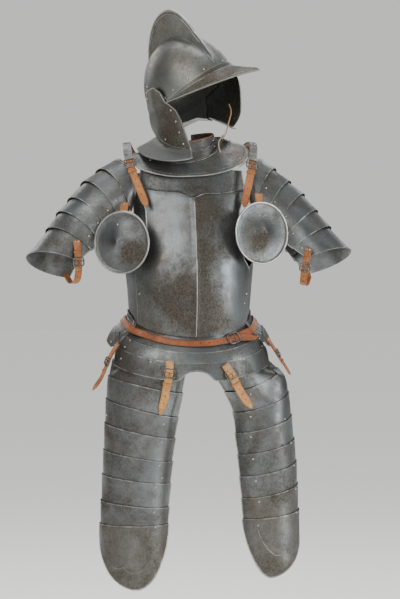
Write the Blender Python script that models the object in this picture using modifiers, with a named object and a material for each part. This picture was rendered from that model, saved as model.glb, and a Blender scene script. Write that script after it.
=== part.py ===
"""Infantry corselet shown as worn, with no wearer: helmet, gorget, breast and back,
skirt lames, shoulder lames, discs, thigh defences and their leather straps.

Metres, +Z up, the chest facing -Y. The origin is the wearer's hold point at the base
of the neck. Tables hold millimetres. "right" and "left" are the wearer's, so the right
side lies at -X.
"""
from collections import namedtuple
from math import asin, cos, floor, pi, radians, sin, sqrt

import bmesh
import bpy
from mathutils import Euler, Matrix, Vector

MM = 0.001
PLATE_WALL = 1.6
LAME_WALL = 1.4
STRAP_WALL = 2.4
RIGHT = -1
LEFT = 1
SIDE_NAMES = {RIGHT: "right", LEFT: "left"}

# Torso rings, from the shoulders to the waist
TorsoRow = namedtuple("TorsoRow", "z_front z_side z_back half_width front back")
TORSO = (
    TorsoRow(5, 5, 5, 150, 70, 84),
    TorsoRow(-50, -50, -50, 155, 84, 106),
    TorsoRow(-110, -110, -110, 157, 106, 117),
    TorsoRow(-190, -190, -190, 156, 134, 111),
    TorsoRow(-262, -250, -250, 153, 150, 97),
    TorsoRow(-335, -300, -298, 148, 150, 86),
    TorsoRow(-403, -347, -343, 145, 134, 83),
)
RIDGE_RISE = 5
RIDGE_HALF_WIDTH = 52
RIDGE_START_LEVEL = 1.1

# Half angle that the breast and the back cover, against the torso level
EdgeRow = namedtuple("EdgeRow", "level half_angle")
BREAST_EDGE = (
    EdgeRow(0, 49), EdgeRow(1, 53), EdgeRow(2, 44), EdgeRow(3, 43),
    EdgeRow(3.5, 50), EdgeRow(3.9, 61), EdgeRow(6, 61),
)
BACK_EDGE = (
    EdgeRow(0, 50), EdgeRow(1, 55), EdgeRow(2, 54), EdgeRow(3, 64),
    EdgeRow(3.5, 96), EdgeRow(3.9, 124), EdgeRow(6, 124),
)
BACK_LIFT = -2.6

# Skirt rings, from the waist to the lower edge
SKIRT = (
    TorsoRow(-396, -340, -341, 137, 126, 76),
    TorsoRow(-412, -356, -357, 140, 129, 80),
    TorsoRow(-446, -384, -392, 169, 144, 112),
    TorsoRow(-468, -412, -434, 186, 152, 136),
    TorsoRow(-503, -446, -470, 194, 158, 150),
)
SkirtLame = namedtuple("SkirtLame", "top bottom")
FAULD = (SkirtLame(0, 2), SkirtLame(1.78, 3), SkirtLame(2.78, 4))
CULET = (SkirtLame(0, 2), SkirtLame(1.78, 3))
FAULD_HALF_ANGLE = 69
CROTCH_ARCH_HALF_WIDTH = 42
CROTCH_ARCH_RISE = 26
CULET_START_ANGLE = 68
CULET_LIFT = 9.0

# Collar and gorget
COLLAR_HALF_WIDTH = 66
COLLAR_FRONT = 66
COLLAR_BACK = 64
COLLAR_FORWARD = -6
COLLAR_BASE_REAR = 30
COLLAR_BASE_FRONT = 4
COLLAR_SIDE_RISE = 22
COLLAR_TOP_REAR = 72
COLLAR_TOP_FRONT = 50
COLLAR_TAPER = 6
COLLAR_HALF_ANGLE = 170
NECK_SLOPE = 0.2
EDGE_SLOPE = 0.06
GorgetRow = namedtuple("GorgetRow", "base_x base_y base_z edge_x edge_y edge_z")
GORGET_FRONT = (
    GorgetRow(0, -76, 2, 0, -88, -32),
    GorgetRow(30, -71, 5, 46, -86, -30),
    GorgetRow(56, -56, 16, 91, -82, -20),
    GorgetRow(70, -34, 32, 122, -62, -6),
    GorgetRow(77, -14, 44, 141, -34, 24),
    GorgetRow(79, 0.5, 50, 146, -4, 35),
)
GORGET_BACK = (
    GorgetRow(79, 3, 50, 146, -1, 35),
    GorgetRow(76, 22, 54, 140, 36, 26),
    GorgetRow(62, 44, 58, 112, 78, 6),
    GorgetRow(36, 62, 61, 62, 104, -14),
    GorgetRow(0, 68, 62, 0, 112, -20),
)

# Limb rings: outer and inner edges as the front view shows them, and the depth
LimbRow = namedtuple("LimbRow", "outer_x outer_z inner_x inner_z depth")
ARMS = {
    RIGHT: (
        LimbRow(-172, 14, -142, -112, 74),
        LimbRow(-212, -15, -146, -150, 76),
        LimbRow(-248, -44, -166, -178, 75),
        LimbRow(-280, -83, -186, -202, 73),
        LimbRow(-307, -116, -203, -221, 70),
        LimbRow(-332, -155, -220, -235, 68),
        LimbRow(-378, -218, -240, -254, 72),
    ),
    LEFT: (
        LimbRow(174, 20, 146, -104, 74),
        LimbRow(208, -10, 150, -142, 76),
        LimbRow(244, -40, 170, -170, 75),
        LimbRow(277, -70, 190, -194, 73),
        LimbRow(309, -109, 208, -214, 70),
        LimbRow(341, -149, 228, -228, 68),
        LimbRow(388, -205, 252, -246, 72),
    ),
}
ARM_CENTRE_Y = 12
ARM_TILT = 18
ARM_COVER = (-120, 124)
ARM_OVERLAP = 0.32
ARM_SINK = -1.6
ARM_FLARE = 4.0

LEGS = {
    RIGHT: (
        LimbRow(-180, -456, -12, -486, 92),
        LimbRow(-190, -510, -22, -552, 90),
        LimbRow(-194, -562, -32, -604, 84),
        LimbRow(-197, -620, -38, -654, 80),
        LimbRow(-200, -683, -44, -708, 77),
        LimbRow(-203, -739, -48, -758, 74),
        LimbRow(-206, -800, -52, -813, 72),
        LimbRow(-208, -847, -53, -847, 71),
    ),
    LEFT: (
        LimbRow(160, -446, 48, -490, 92),
        LimbRow(206, -489, 82, -548, 90),
        LimbRow(222, -544, 96, -592, 84),
        LimbRow(231, -599, 101, -641, 80),
        LimbRow(239, -655, 107, -692, 77),
        LimbRow(245, -708, 111, -743, 74),
        LimbRow(248, -762, 116, -793, 72),
        LimbRow(251, -818, 118, -836, 71),
    ),
}
LEG_CENTRE_Y = -18
LEG_SPLAY = {RIGHT: 16, LEFT: 28}
LEG_COVER = (-24, 176)
LEG_OVERLAP = 0.26
SKIRT_BLEND = (0.8, 0.4, 0.12, 0.0)
SKIRT_INSIDE = 8
SKIRT_LEAST = 0.16
SKIRT_SOFT = 0.02
TUCK_Z = (-494, -474)
TUCK_Y = (-30, -58)

# Knee plates: the angle their point lies at, drop below the top edge, share of the width kept
KNEE_MIDDLE_ANGLE = {RIGHT: 103, LEFT: 117}
KNEE_SCALE = {RIGHT: 0.98, LEFT: 0.93}
KneeRow = namedtuple("KneeRow", "drop width")
KNEE = (
    KneeRow(-8, 1.0), KneeRow(0, 1.0), KneeRow(26, 0.99), KneeRow(56, 0.94), KneeRow(84, 0.83),
    KneeRow(108, 0.67), KneeRow(125, 0.48), KneeRow(135, 0.28), KneeRow(140, 0.1),
)

# Discs in front of the armpits
DiscPlace = namedtuple("DiscPlace", "x y z azimuth")
DISCS = {RIGHT: DiscPlace(-165, -104, -187, -34), LEFT: DiscPlace(155, -104, -164, 24)}
ProfileRow = namedtuple("ProfileRow", "radius rise")
DISC_PROFILE = (
    ProfileRow(0, 24), ProfileRow(22, 12), ProfileRow(38, 6), ProfileRow(56, 2.5),
    ProfileRow(66, 3), ProfileRow(70.5, 5.5), ProfileRow(73, 3),
)

# Helmet, in its own frame: p forward, q to the wearer's left, r up, from the ear axis
HELMET_AT = (9.5, -42, 167.5)
HELMET_YAW = 29
HELMET_TILT = 9
HELMET_ROLL = 23
SKULL_BACKSET = -10
SKULL_LENGTH = 124
SKULL_HEIGHT = 136
SKULL_WIDTH = 100
SKULL_BROW_ANGLE = 11
SKULL_NAPE_ANGLE = 198
SKULL_SIDE_ANGLE = 78
COMB_HALF_THICKNESS = 2.0
CombRow = namedtuple("CombRow", "fan height")
COMB = (
    CombRow(17, 0), CombRow(25, 6), CombRow(36, 12.5), CombRow(51, 26), CombRow(61, 45), CombRow(69, 58),
    CombRow(79, 64), CombRow(92, 58), CombRow(104, 46), CombRow(118, 32), CombRow(136, 20),
    CombRow(158, 13), CombRow(178, 7), CombRow(192, 0),
)
LEAN = 0.3
HeadRow = namedtuple("HeadRow", "r rise sink length width flare right_front left_front cheek_rear")
HEAD = (
    HeadRow(46, 0, 0, 128, 105, 0, 87, 87, 99),
    HeadRow(30, 0, 0, 128, 105, 0, 81, 78, 108),
    HeadRow(6, 0, 0, 128, 105, 0, 80, 64, 118),
    HeadRow(-20, 0, 0, 126, 104, 0, 69, 50, 126),
    HeadRow(-45, 8, 0, 124, 102, 0, 65, 42, 130),
    HeadRow(-78, 30, 0, 120, 98, 0, 63, 55, 131),
    HeadRow(-110, 55, 5, 117, 95, 0, 61, 84, 131),
    HeadRow(-118, 60, 5, 122, 100, 6, 59, 92, 131),
    HeadRow(-132, 71, -5, 150, 122, 22, 57, 98, 131),
)
FACE_ANGLE = 60
NAPE_ANGLE = 135
GUARD_HALF_ANGLE = 58
GUARD_ROWS = 3
GUARD_LIFT = -2.4
GUARD_LOWER = -3.0
GUARD_LAP = 2.2
LEFT_CHEEK_DIP = 16
CHEEK_DIP_FROM = (70, 125)
CHEEK_DIP_SHARE = 0.7
PEAK_REACH = 122
PEAK_DROP = 39
PEAK_SIDE_ANGLE = 79

# Leather straps: places along each, and the points their inner faces look at
Place = namedtuple("Place", "x y z")
BUCKLE_WIRE = 3.6
BUCKLE_STANDS = 0.15
BELT_START = 33
BELT_TAIL = 28
BELT_LEVELS = (0.93, 1.40)
BELT_LIFT = 1.0
BELT_LAP = 3.6
BELT_HIP_ANGLES = (46, 62)
SHOULDER_STRAPS = {
    RIGHT: ((-122, 66, 20), (-138, 40, 40), (-146, 0, 48), (-149, -30, 34), (-146, -56, 6),
            (-142, -68, -14), (-132, -77, -43), (-120, -85, -74), (-108, -97, -106)),
    LEFT: ((122, 66, 24), (139, 40, 46), (148, 0, 53), (148, -32, 37), (142, -58, 6),
           (138, -70, -15), (131, -77, -46), (124, -84, -76), (117, -95, -105)),
}
# Each thigh strap: places on the skirt, then places on the thigh, with the lift off the plate
StrapSpot = namedtuple("StrapSpot", "x z lift")
THIGH_STRAP_TOPS = {
    RIGHT: (StrapSpot(-61, -457, 4.6), StrapSpot(-62, -476, 5.5), StrapSpot(-64, -494, 8.5)),
    LEFT: (StrapSpot(65, -465, 4.6), StrapSpot(75, -480, 5.5), StrapSpot(84, -494, 8.5)),
}
THIGH_STRAP_TAILS = {
    RIGHT: (StrapSpot(-67, -518, 13), StrapSpot(-71, -546, 8), StrapSpot(-79, -581, 5)),
    LEFT: (StrapSpot(98, -518, 13), StrapSpot(114, -542, 8), StrapSpot(134, -568, 5)),
}
HIP_STRAPS = {
    RIGHT: ((-171, -74, -419), (-187, -66, -446), (-198, -58, -472), (-210, -52, -500), (-229, -46, -528)),
    LEFT: ((172, -76, -407), (188, -72, -430), (204, -66, -454), (219, -60, -474), (232, -54, -494)),
}
ARM_STRAPS = {
    RIGHT: ((-268, -68, -180), (-265, -62, -214), (-263, -52, -246), (-266, -28, -272), (-277, 2, -277),
            (-290, 30, -254)),
    LEFT: ((274, -68, -196), (270, -62, -226), (267, -50, -256), (270, -24, -280), (282, 6, -276),
           (294, 32, -250)),
}
ARM_STRAP_CORES = {RIGHT: (-280, 10, -200), LEFT: (300, 10, -200)}
DISC_STRAP = ((0, 12, 92), (0, 8, 76), (0, 4, 58), (0, 3, 40))
LACE_THICKNESS = 3.0
LACE = ((88, -52, 139), (92, -58, 120), (84, -66, 90), (77, -72, 67), (62, -78, 52), (60, -82, 37), (64, -84, 22))

STEEL = ("blackened_steel", (0.10, 0.105, 0.105), 0.38, 0.95)
HELMET_STEEL = ("helmet_steel", (0.12, 0.12, 0.11), 0.42, 0.95)
LEATHER = ("tan_leather", (0.50, 0.22, 0.09), 0.62, 0.0)
THONG = ("leather_thong", (0.40, 0.24, 0.12), 0.75, 0.0)


def start_scene():
    """Empty the file and make the two collections."""
    for item in list(bpy.data.objects):
        bpy.data.objects.remove(item, do_unlink=True)
    armour = bpy.data.collections.new("corselet_armour")
    cutters = bpy.data.collections.new("cutters")
    bpy.context.scene.collection.children.link(armour)
    bpy.context.scene.collection.children.link(cutters)
    return armour, cutters


ARMOUR, CUTTERS = start_scene()


def material(finish):
    """Principled material of a named finish, made once."""
    name, colour, roughness, metallic = finish
    found = bpy.data.materials.get(name)
    if found:
        return found
    made = bpy.data.materials.new(name)
    made.use_nodes = True
    shader = made.node_tree.nodes["Principled BSDF"]
    shader.inputs["Base Color"].default_value = (*colour, 1.0)
    shader.inputs["Roughness"].default_value = roughness
    shader.inputs["Metallic"].default_value = metallic
    made.diffuse_color = (*colour, 1.0)
    return made


def lerp(a, b, share):
    return a + (b - a) * share


def spread(start, end, count):
    """count + 1 even values from start to end."""
    return [lerp(start, end, i / count) for i in range(count + 1)]


def blend(rows, level):
    """Table row at a fractional index, on a smooth curve through the rows."""
    last = len(rows) - 1
    index = min(max(int(floor(level)), 0), last - 1)
    t = level - index
    before = rows[max(index - 1, 0)]
    start = rows[index]
    end = rows[index + 1]
    after = rows[min(index + 2, last)]
    values = []
    for a, b, c, d in zip(before, start, end, after):
        values.append(b + 0.5 * t * (c - a + t * (2 * a - 5 * b + 4 * c - d + t * (3 * (b - c) + d - a))))
    return type(start)(*values)


def edge_angle(rows, level):
    """Half angle at a level, in straight steps."""
    for low, high in zip(rows, rows[1:]):
        if level <= high.level:
            share = (level - low.level) / (high.level - low.level)
            return lerp(low.half_angle, high.half_angle, max(share, 0.0))
    return rows[-1].half_angle


def link_mesh(name, mesh, finish, collection=None):
    """Object in the armour's collection, shaded smooth."""
    thing = bpy.data.objects.new(name, mesh)
    (collection or ARMOUR).objects.link(thing)
    mesh.materials.append(material(finish))
    mesh.shade_smooth()
    mesh.set_sharp_from_angle(angle=radians(40))
    return thing


def grid_mesh(name, rows, core):
    """Open surface through a grid of points, its faces turned away from the core point."""
    mesh = bpy.data.meshes.new(name)
    surface = bmesh.new()
    grid = [[surface.verts.new(Vector(point) * MM) for point in row] for row in rows]
    for low, high in zip(grid, grid[1:]):
        for i in range(len(low) - 1):
            surface.faces.new((low[i], low[i + 1], high[i + 1], high[i]))
    surface.normal_update()
    outward = sum(face.normal.dot(face.calc_center_median() - Vector(core) * MM) for face in surface.faces)
    if outward < 0:
        bmesh.ops.reverse_faces(surface, faces=surface.faces[:])
    surface.to_mesh(mesh)
    surface.free()
    return mesh


def plate(name, rows, core, wall=PLATE_WALL, finish=STEEL, outward=False):
    """Sheet of one thickness: the grid is its outer face, or its inner one when outward."""
    thing = link_mesh(name, grid_mesh(name, rows, core), finish)
    shell = thing.modifiers.new("wall", "SOLIDIFY")
    shell.thickness = wall * MM
    shell.offset = 1.0 if outward else -1.0
    return thing


def ring_point(table, level, angle, lift=0.0):
    """Point on a body ring: angle 0 is the front, 90 the wearer's left."""
    row = blend(table, level)
    turn = radians(angle)
    facing = cos(turn)
    depth = row.front if facing >= 0 else row.back
    z_end = row.z_front if facing >= 0 else row.z_back
    x = (row.half_width + lift) * sin(turn)
    y = -(depth + lift) * facing
    if facing > 0 and table is TORSO:
        grown = min(max((level - RIDGE_START_LEVEL) * 2, 0.0), 1.0)
        y -= RIDGE_RISE * grown * max(0.0, 1.0 - abs(x) / RIDGE_HALF_WIDTH)
    return Vector((x, y, lerp(row.z_side, z_end, abs(facing))))


def body_plates():
    """Breastplate and backplate with their armholes."""
    levels = (0.45, 0.7, 1.0, 1.6, 2.2, 2.8, 3.2, 3.5, 3.7, 3.9, 4.4, 5.0, 5.5, 6.0)
    breast = []
    back = []
    for level in levels:
        front_edge = edge_angle(BREAST_EDGE, level)
        rear_edge = edge_angle(BACK_EDGE, level)
        breast.append([ring_point(TORSO, level, angle) for angle in spread(-front_edge, front_edge, 14)])
        back.append([
            ring_point(TORSO, level, angle, BACK_LIFT)
            for angle in spread(180 - rear_edge, 180 + rear_edge, 14)
        ])
    plate("breastplate", breast, (0, 0, -200))
    plate("backplate", back, (0, 0, -200))


def skirt_levels(lames, index):
    """Levels of a skirt lame's rows, shared with its neighbours where they lap."""
    lame = lames[index]
    levels = [lame.top]
    if index:
        levels.append(lames[index - 1].bottom)
    else:
        levels.extend(BELT_LEVELS)
    if index + 1 < len(lames):
        levels.append(lames[index + 1].top)
    levels.append(lame.bottom)
    return levels


def fauld():
    """Three front skirt lames, each lower one outside the one above."""
    for index, lame in enumerate(FAULD):
        rows = []
        for level in skirt_levels(FAULD, index):
            share = (level - lame.top) / (lame.bottom - lame.top)
            lift = lerp(2.4 if index else -0.4, 1.0 if index == 2 else -0.6, share)
            row = []
            for angle in spread(-FAULD_HALF_ANGLE, FAULD_HALF_ANGLE, 16):
                point = ring_point(SKIRT, level, angle, lift)
                if index == 2:
                    near = max(0.0, 1.0 - (point.x / CROTCH_ARCH_HALF_WIDTH) ** 2)
                    point.z += CROTCH_ARCH_RISE * near * share ** 2
                row.append(point)
            rows.append(row)
        plate(f"fauld_{index + 1}", rows, (0, 0, -430), LAME_WALL)


def culet():
    """Two rear skirt lames whose ends lie over the fauld at the hips."""
    for index, lame in enumerate(CULET):
        rows = []
        for level in skirt_levels(CULET, index):
            share = (level - lame.top) / (lame.bottom - lame.top)
            lift = CULET_LIFT + lerp(2.4 if index else 0.0, -0.6, share)
            angles = spread(CULET_START_ANGLE, 360 - CULET_START_ANGLE, 18)
            rows.append([ring_point(SKIRT, level, angle, lift) for angle in angles])
        plate(f"culet_{index + 1}", rows, (0, 0, -420), LAME_WALL)


def mirrored(rows):
    """Gorget rows of the other half."""
    return [row._replace(base_x=-row.base_x, edge_x=-row.edge_x) for row in rows]


def gorget():
    """Front and back neck plates, butted at the shoulders, and two collar lames."""
    front = mirrored(GORGET_FRONT[:0:-1]) + list(GORGET_FRONT)
    back = list(GORGET_BACK) + mirrored(GORGET_BACK[-2::-1])
    for name, half in (("gorget_front", front), ("gorget_back", back)):
        rows = []
        for share, bow in ((0.0, 0), (0.35, -1.0), (0.7, -0.5), (1.0, 0)):
            rows.append([
                Vector((
                    lerp(row.base_x, row.edge_x, share),
                    lerp(row.base_y, row.edge_y, share),
                    lerp(
                        row.base_z + NECK_SLOPE * row.base_x,
                        row.edge_z + EDGE_SLOPE * row.edge_x,
                        share,
                    ) + bow,
                ))
                for row in half
            ])
        plate(name, rows, (0, 0, -60))
    collar_levels = {"collar_lame_lower": (0.0, 0.5, 0.0), "collar_lame_upper": (0.42, 1.0, -2.4)}
    for name, (low, high, lift) in collar_levels.items():
        rows = []
        for share in spread(low, high, 2):
            row = []
            grown = lift - COLLAR_TAPER * share
            for angle in spread(-COLLAR_HALF_ANGLE, COLLAR_HALF_ANGLE, 22):
                facing = cos(radians(angle))
                depth = COLLAR_FRONT if facing > 0 else COLLAR_BACK
                ahead = (facing + 1) / 2
                base = lerp(COLLAR_BASE_REAR, COLLAR_BASE_FRONT, ahead) + COLLAR_SIDE_RISE * (1 - abs(facing))
                top = lerp(COLLAR_TOP_REAR, COLLAR_TOP_FRONT, ahead)
                x = (COLLAR_HALF_WIDTH + grown) * sin(radians(angle))
                y = COLLAR_FORWARD - (depth + grown) * facing
                row.append(Vector((x, y, lerp(base, top, share) + NECK_SLOPE * x)))
            rows.append(row)
        plate(name, rows, (0, 0, 30), LAME_WALL)


def limb_frame(rows, level, centre_y, splay, tilt):
    """Centre, outer semi-axis and front semi-axis directions of a limb ring."""
    row = blend(rows, level)
    outer = Vector((row.outer_x, 0, row.outer_z))
    inner = Vector((row.inner_x, 0, row.inner_z))
    centre = (outer + inner) / 2 + Vector((0, centre_y, 0))
    half = (outer - inner) / 2
    side = 1 if half.x > 0 else -1
    turn = radians(splay)
    semi = half.length / cos(turn)
    across = (half.normalized() * cos(turn) + Vector((0, sin(turn), 0))).normalized()
    up = Vector((-half.z, 0, half.x)) * side
    front = Vector((side * sin(turn), -cos(turn), 0)) * cos(radians(tilt))
    front += up.normalized() * sin(radians(tilt))
    return centre, across, semi, front, row.depth


def arm_point(side, level, angle, lift=0.0):
    """Point on the arm tube: angle 0 is the outer side and 90 the front."""
    centre, across, semi, front, depth = limb_frame(ARMS[side], level, ARM_CENTRE_Y, 0, ARM_TILT)
    turn = radians(angle)
    return centre + across * (semi + lift) * cos(turn) + front * (depth + lift) * sin(turn)


def spaudlers():
    """Six shoulder lames a side, each upper one outside the one below."""
    for side in (RIGHT, LEFT):
        for lame in range(6):
            start = lame - (ARM_OVERLAP if lame else 0.0)
            rows = []
            for level in (start, lame + (0.0 if lame else 0.35), lame + 1.0 - ARM_OVERLAP, lame + 1.0):
                share = (level - start) / (lame + 1 - start)
                lift = lerp(ARM_SINK, ARM_FLARE, share ** 1.5)
                rows.append([arm_point(side, level, angle, lift) for angle in spread(*ARM_COVER, 14)])
            core = limb_frame(ARMS[side], lame + 0.5, ARM_CENTRE_Y, 0, ARM_TILT)[0]
            plate(f"spaudler_{SIDE_NAMES[side]}_{lame + 1}", rows, core, LAME_WALL)


def skirt_depth(x):
    """How far the top of a thigh defence stands forward, inside the skirt's lower edge."""
    row = SKIRT[-1]
    reach = 1.0 - (x / (row.half_width - SKIRT_INSIDE)) ** 2
    kept = (reach + SKIRT_LEAST + sqrt((reach - SKIRT_LEAST) ** 2 + SKIRT_SOFT)) / 2
    return -(row.front - SKIRT_INSIDE) * sqrt(kept)


def ramp(value, start, end):
    """0 at start and 1 at end, with soft ends."""
    share = min(max((value - start) / (end - start), 0.0), 1.0)
    return share * share * (3 - 2 * share)


def tuck_scale(point):
    """How much the top of a thigh defence draws in to stay inside the front skirt's lower edge."""
    row = SKIRT[-1]
    reach = sqrt((point.x / (row.half_width - SKIRT_INSIDE)) ** 2 + (point.y / (row.front - SKIRT_INSIDE)) ** 2)
    if reach <= 1.0:
        return 1.0
    return lerp(1.0, 1.0 / reach, ramp(point.z, *TUCK_Z) * ramp(point.y, *TUCK_Y))


def thigh_ring(side, level, angle, lift):
    """Point on a thigh ring before it is tucked under the skirt."""
    centre, across, semi, front, depth = limb_frame(LEGS[side], level, LEG_CENTRE_Y, LEG_SPLAY[side], 0)
    turn = radians(angle)
    point = centre + across * (semi + lift) * cos(turn) + front * (depth + lift) * sin(turn)
    if level < len(SKIRT_BLEND) - 1:
        index = max(int(floor(level)), 0)
        share = lerp(SKIRT_BLEND[index], SKIRT_BLEND[index + 1], level - index)
        point.y = lerp(point.y, skirt_depth(point.x) - lift, share * ramp(sin(turn), 0.0, 0.6))
    return point


def leg_point(side, level, angle, lift=0.0):
    """Point on a thigh defence: angle 0 is the outer side and 90 the front."""
    scale = tuck_scale(thigh_ring(side, level, angle, 0.0))
    point = thigh_ring(side, level, angle, lift)
    point.x *= scale
    point.y *= scale
    return point


def tassets():
    """Seven thigh lames and a rounded knee plate a side, each lower one outside."""
    for side in (RIGHT, LEFT):
        core_row = LEGS[side][3]
        for lame in range(7):
            start = lame - (LEG_OVERLAP if lame else 0.0)
            rows = []
            for level in (start, lame + (0.0 if lame else 0.3), lame + 1.0 - LEG_OVERLAP, lame + 1.0):
                share = (level - start) / (lame + 1 - start)
                lift = lerp(1.8 if lame else -0.5, -1.4, share)
                rows.append([leg_point(side, level, angle, lift) for angle in spread(*LEG_COVER, 12)])
            core = limb_frame(LEGS[side], lame + 0.5, LEG_CENTRE_Y, 0, 0)[0]
            plate(f"tasset_{SIDE_NAMES[side]}_{lame + 1}", rows, core, LAME_WALL)
        knee_rows = []
        middle = KNEE_MIDDLE_ANGLE[side]
        for row in KNEE:
            line = []
            kept = degrees_of(asin(row.width)) / 90
            for angle in spread(lerp(middle, 4, kept), lerp(middle, 176, kept), 12):
                point = leg_point(side, 7, angle, 1.8)
                point.z -= row.drop * KNEE_SCALE[side]
                line.append(point)
            knee_rows.append(line)
        core = ((core_row.outer_x + core_row.inner_x) / 2, LEG_CENTRE_Y, -900)
        plate(f"tasset_{SIDE_NAMES[side]}_knee", knee_rows, core, LAME_WALL)


def degrees_of(angle):
    return angle * 180 / pi


def besagews():
    """Turned discs with a pointed boss and a rolled rim."""
    for side in (RIGHT, LEFT):
        place = DISCS[side]
        profile = [Vector((row.radius, 0, row.rise)) for row in DISC_PROFILE]
        sides = 26
        rows = []
        for step in range(sides + 1):
            turn = Matrix.Rotation(2 * pi * step / sides, 3, "Z")
            rows.append([turn @ point for point in profile])
        name = f"besagew_{SIDE_NAMES[side]}"
        mesh = grid_mesh(name, rows, (0, 0, -100))
        disc = bmesh.new()
        disc.from_mesh(mesh)
        bmesh.ops.remove_doubles(disc, verts=disc.verts, dist=0.01 * MM)
        disc.to_mesh(mesh)
        disc.free()
        thing = link_mesh(name, mesh, STEEL)
        shell = thing.modifiers.new("wall", "SOLIDIFY")
        shell.thickness = LAME_WALL * MM
        shell.offset = -1.0
        stand = Euler((radians(90), 0, radians(place.azimuth)))
        thing.rotation_euler = stand
        thing.location = Vector((place.x, place.y, place.z)) * MM


def helmet_frame():
    """Turn from the helmet's own axes to the armour's."""
    yaw = Matrix.Rotation(radians(HELMET_YAW), 3, "Z")
    tilt = Matrix.Rotation(radians(-HELMET_TILT), 3, "X")
    roll = Matrix.Rotation(radians(-HELMET_ROLL), 3, "Y")
    return yaw @ tilt @ roll


HELMET_TURN = helmet_frame()


def on_helmet(p, q, r):
    """World point of helmet coordinates; below the ears the helmet leans with the neck."""
    return Vector(HELMET_AT) + HELMET_TURN @ Vector((q + LEAN * min(r, 0.0), -p, r))


def skull_point(fan, side, lift=0.0, comb=0.0):
    """Point of the skull: fan 0 is the front and 90 the top, side 0 is the middle plane."""
    reach = cos(radians(side))
    p = SKULL_BACKSET + (SKULL_LENGTH + lift + comb) * cos(radians(fan)) * reach
    r = (SKULL_HEIGHT + lift + comb) * sin(radians(fan)) * reach
    q = (SKULL_WIDTH + lift) * sin(radians(side))
    return on_helmet(p, q, r)


def comb_height(fan):
    """Height of the comb above the skull at a fan angle."""
    for low, high in zip(COMB, COMB[1:]):
        if low.fan <= fan <= high.fan:
            return lerp(low.height, high.height, (fan - low.fan) / (high.fan - low.fan))
    return 0.0


def burgonet_skull():
    """Skull raised with its comb: outer face with the comb, inner face a plain dome."""
    fans = [SKULL_BROW_ANGLE] + [row.fan for row in COMB] + [SKULL_NAPE_ANGLE]
    base_side = 5.0
    edge_side = degrees_of(COMB_HALF_THICKNESS / SKULL_WIDTH)
    outer_sides = spread(-SKULL_SIDE_ANGLE, -base_side, 5)
    mesh = bpy.data.meshes.new("burgonet_skull")
    skull = bmesh.new()
    outer = []
    inner = []
    for fan in fans:
        comb = comb_height(fan)
        line = [(side, 0.0) for side in outer_sides]
        line += [(-edge_side * 1.6, comb * 0.35), (-edge_side, comb)]
        line += [(-side, rise) for side, rise in line[::-1]]
        outer.append([skull.verts.new(skull_point(fan, side, 0.0, rise) * MM) for side, rise in line])
        inner.append([skull.verts.new(skull_point(fan, side, -PLATE_WALL) * MM) for side, _ in line])
    last_row = len(fans) - 1
    last_column = len(outer[0]) - 1
    for i in range(last_row):
        for j in range(last_column):
            skull.faces.new((outer[i][j], outer[i][j + 1], outer[i + 1][j + 1], outer[i + 1][j]))
            skull.faces.new((inner[i][j], inner[i + 1][j], inner[i + 1][j + 1], inner[i][j + 1]))
        for j in (0, last_column):
            skull.faces.new((outer[i][j], outer[i + 1][j], inner[i + 1][j], inner[i][j]))
    for j in range(last_column):
        for i in (0, last_row):
            skull.faces.new((outer[i][j], inner[i][j], inner[i][j + 1], outer[i][j + 1]))
    bmesh.ops.recalc_face_normals(skull, faces=skull.faces)
    skull.to_mesh(mesh)
    skull.free()
    link_mesh("burgonet_skull", mesh, HELMET_STEEL)


def burgonet_peak():
    """Fixed peak: a band riveted over the brow, drawn out forward to a point."""
    rows = []
    sides = spread(-PEAK_SIDE_ANGLE, PEAK_SIDE_ANGLE, 18)
    rows.append([skull_point(SKULL_BROW_ANGLE + 4, side, 2.4) for side in sides])
    rows.append([skull_point(SKULL_BROW_ANGLE, side, 2.4) for side in sides])
    for reach in (0.3, 0.65, 1.0):
        row = []
        for side in sides:
            share = max(0.0, 1.0 - abs(side) / PEAK_SIDE_ANGLE) ** 0.9
            ahead = Vector((0, -PEAK_REACH, -PEAK_DROP)) * share * reach
            inward = Vector((-SKULL_WIDTH * sin(radians(side)), 0, 0)) * 0.5 * share * reach
            row.append(skull_point(SKULL_BROW_ANGLE, side, 2.4 + 2 * reach) + HELMET_TURN @ (ahead + inward))
        rows.append(row)
    plate("burgonet_peak", rows, on_helmet(0, 0, -60), finish=HELMET_STEEL)


def head_point(row, angle, lift=0.0):
    """Point on a section of the head: angle 0 is the face and 90 the wearer's right."""
    turn = radians(angle)
    rear = (abs((angle + 180) % 360 - 180) - FACE_ANGLE) / (NAPE_ANGLE - FACE_ANGLE)
    rear = min(max(rear, 0.0), 1.0)
    nape = max(abs((angle + 180) % 360 - 180) - NAPE_ANGLE, 0.0) / (180 - NAPE_ANGLE)
    p = SKULL_BACKSET + (row.length + row.flare * rear + lift) * cos(turn)
    q = -(row.width + row.flare * rear + lift) * sin(turn)
    return on_helmet(p, q, row.r + row.rise * rear ** 1.25 + row.sink * nape)


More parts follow.
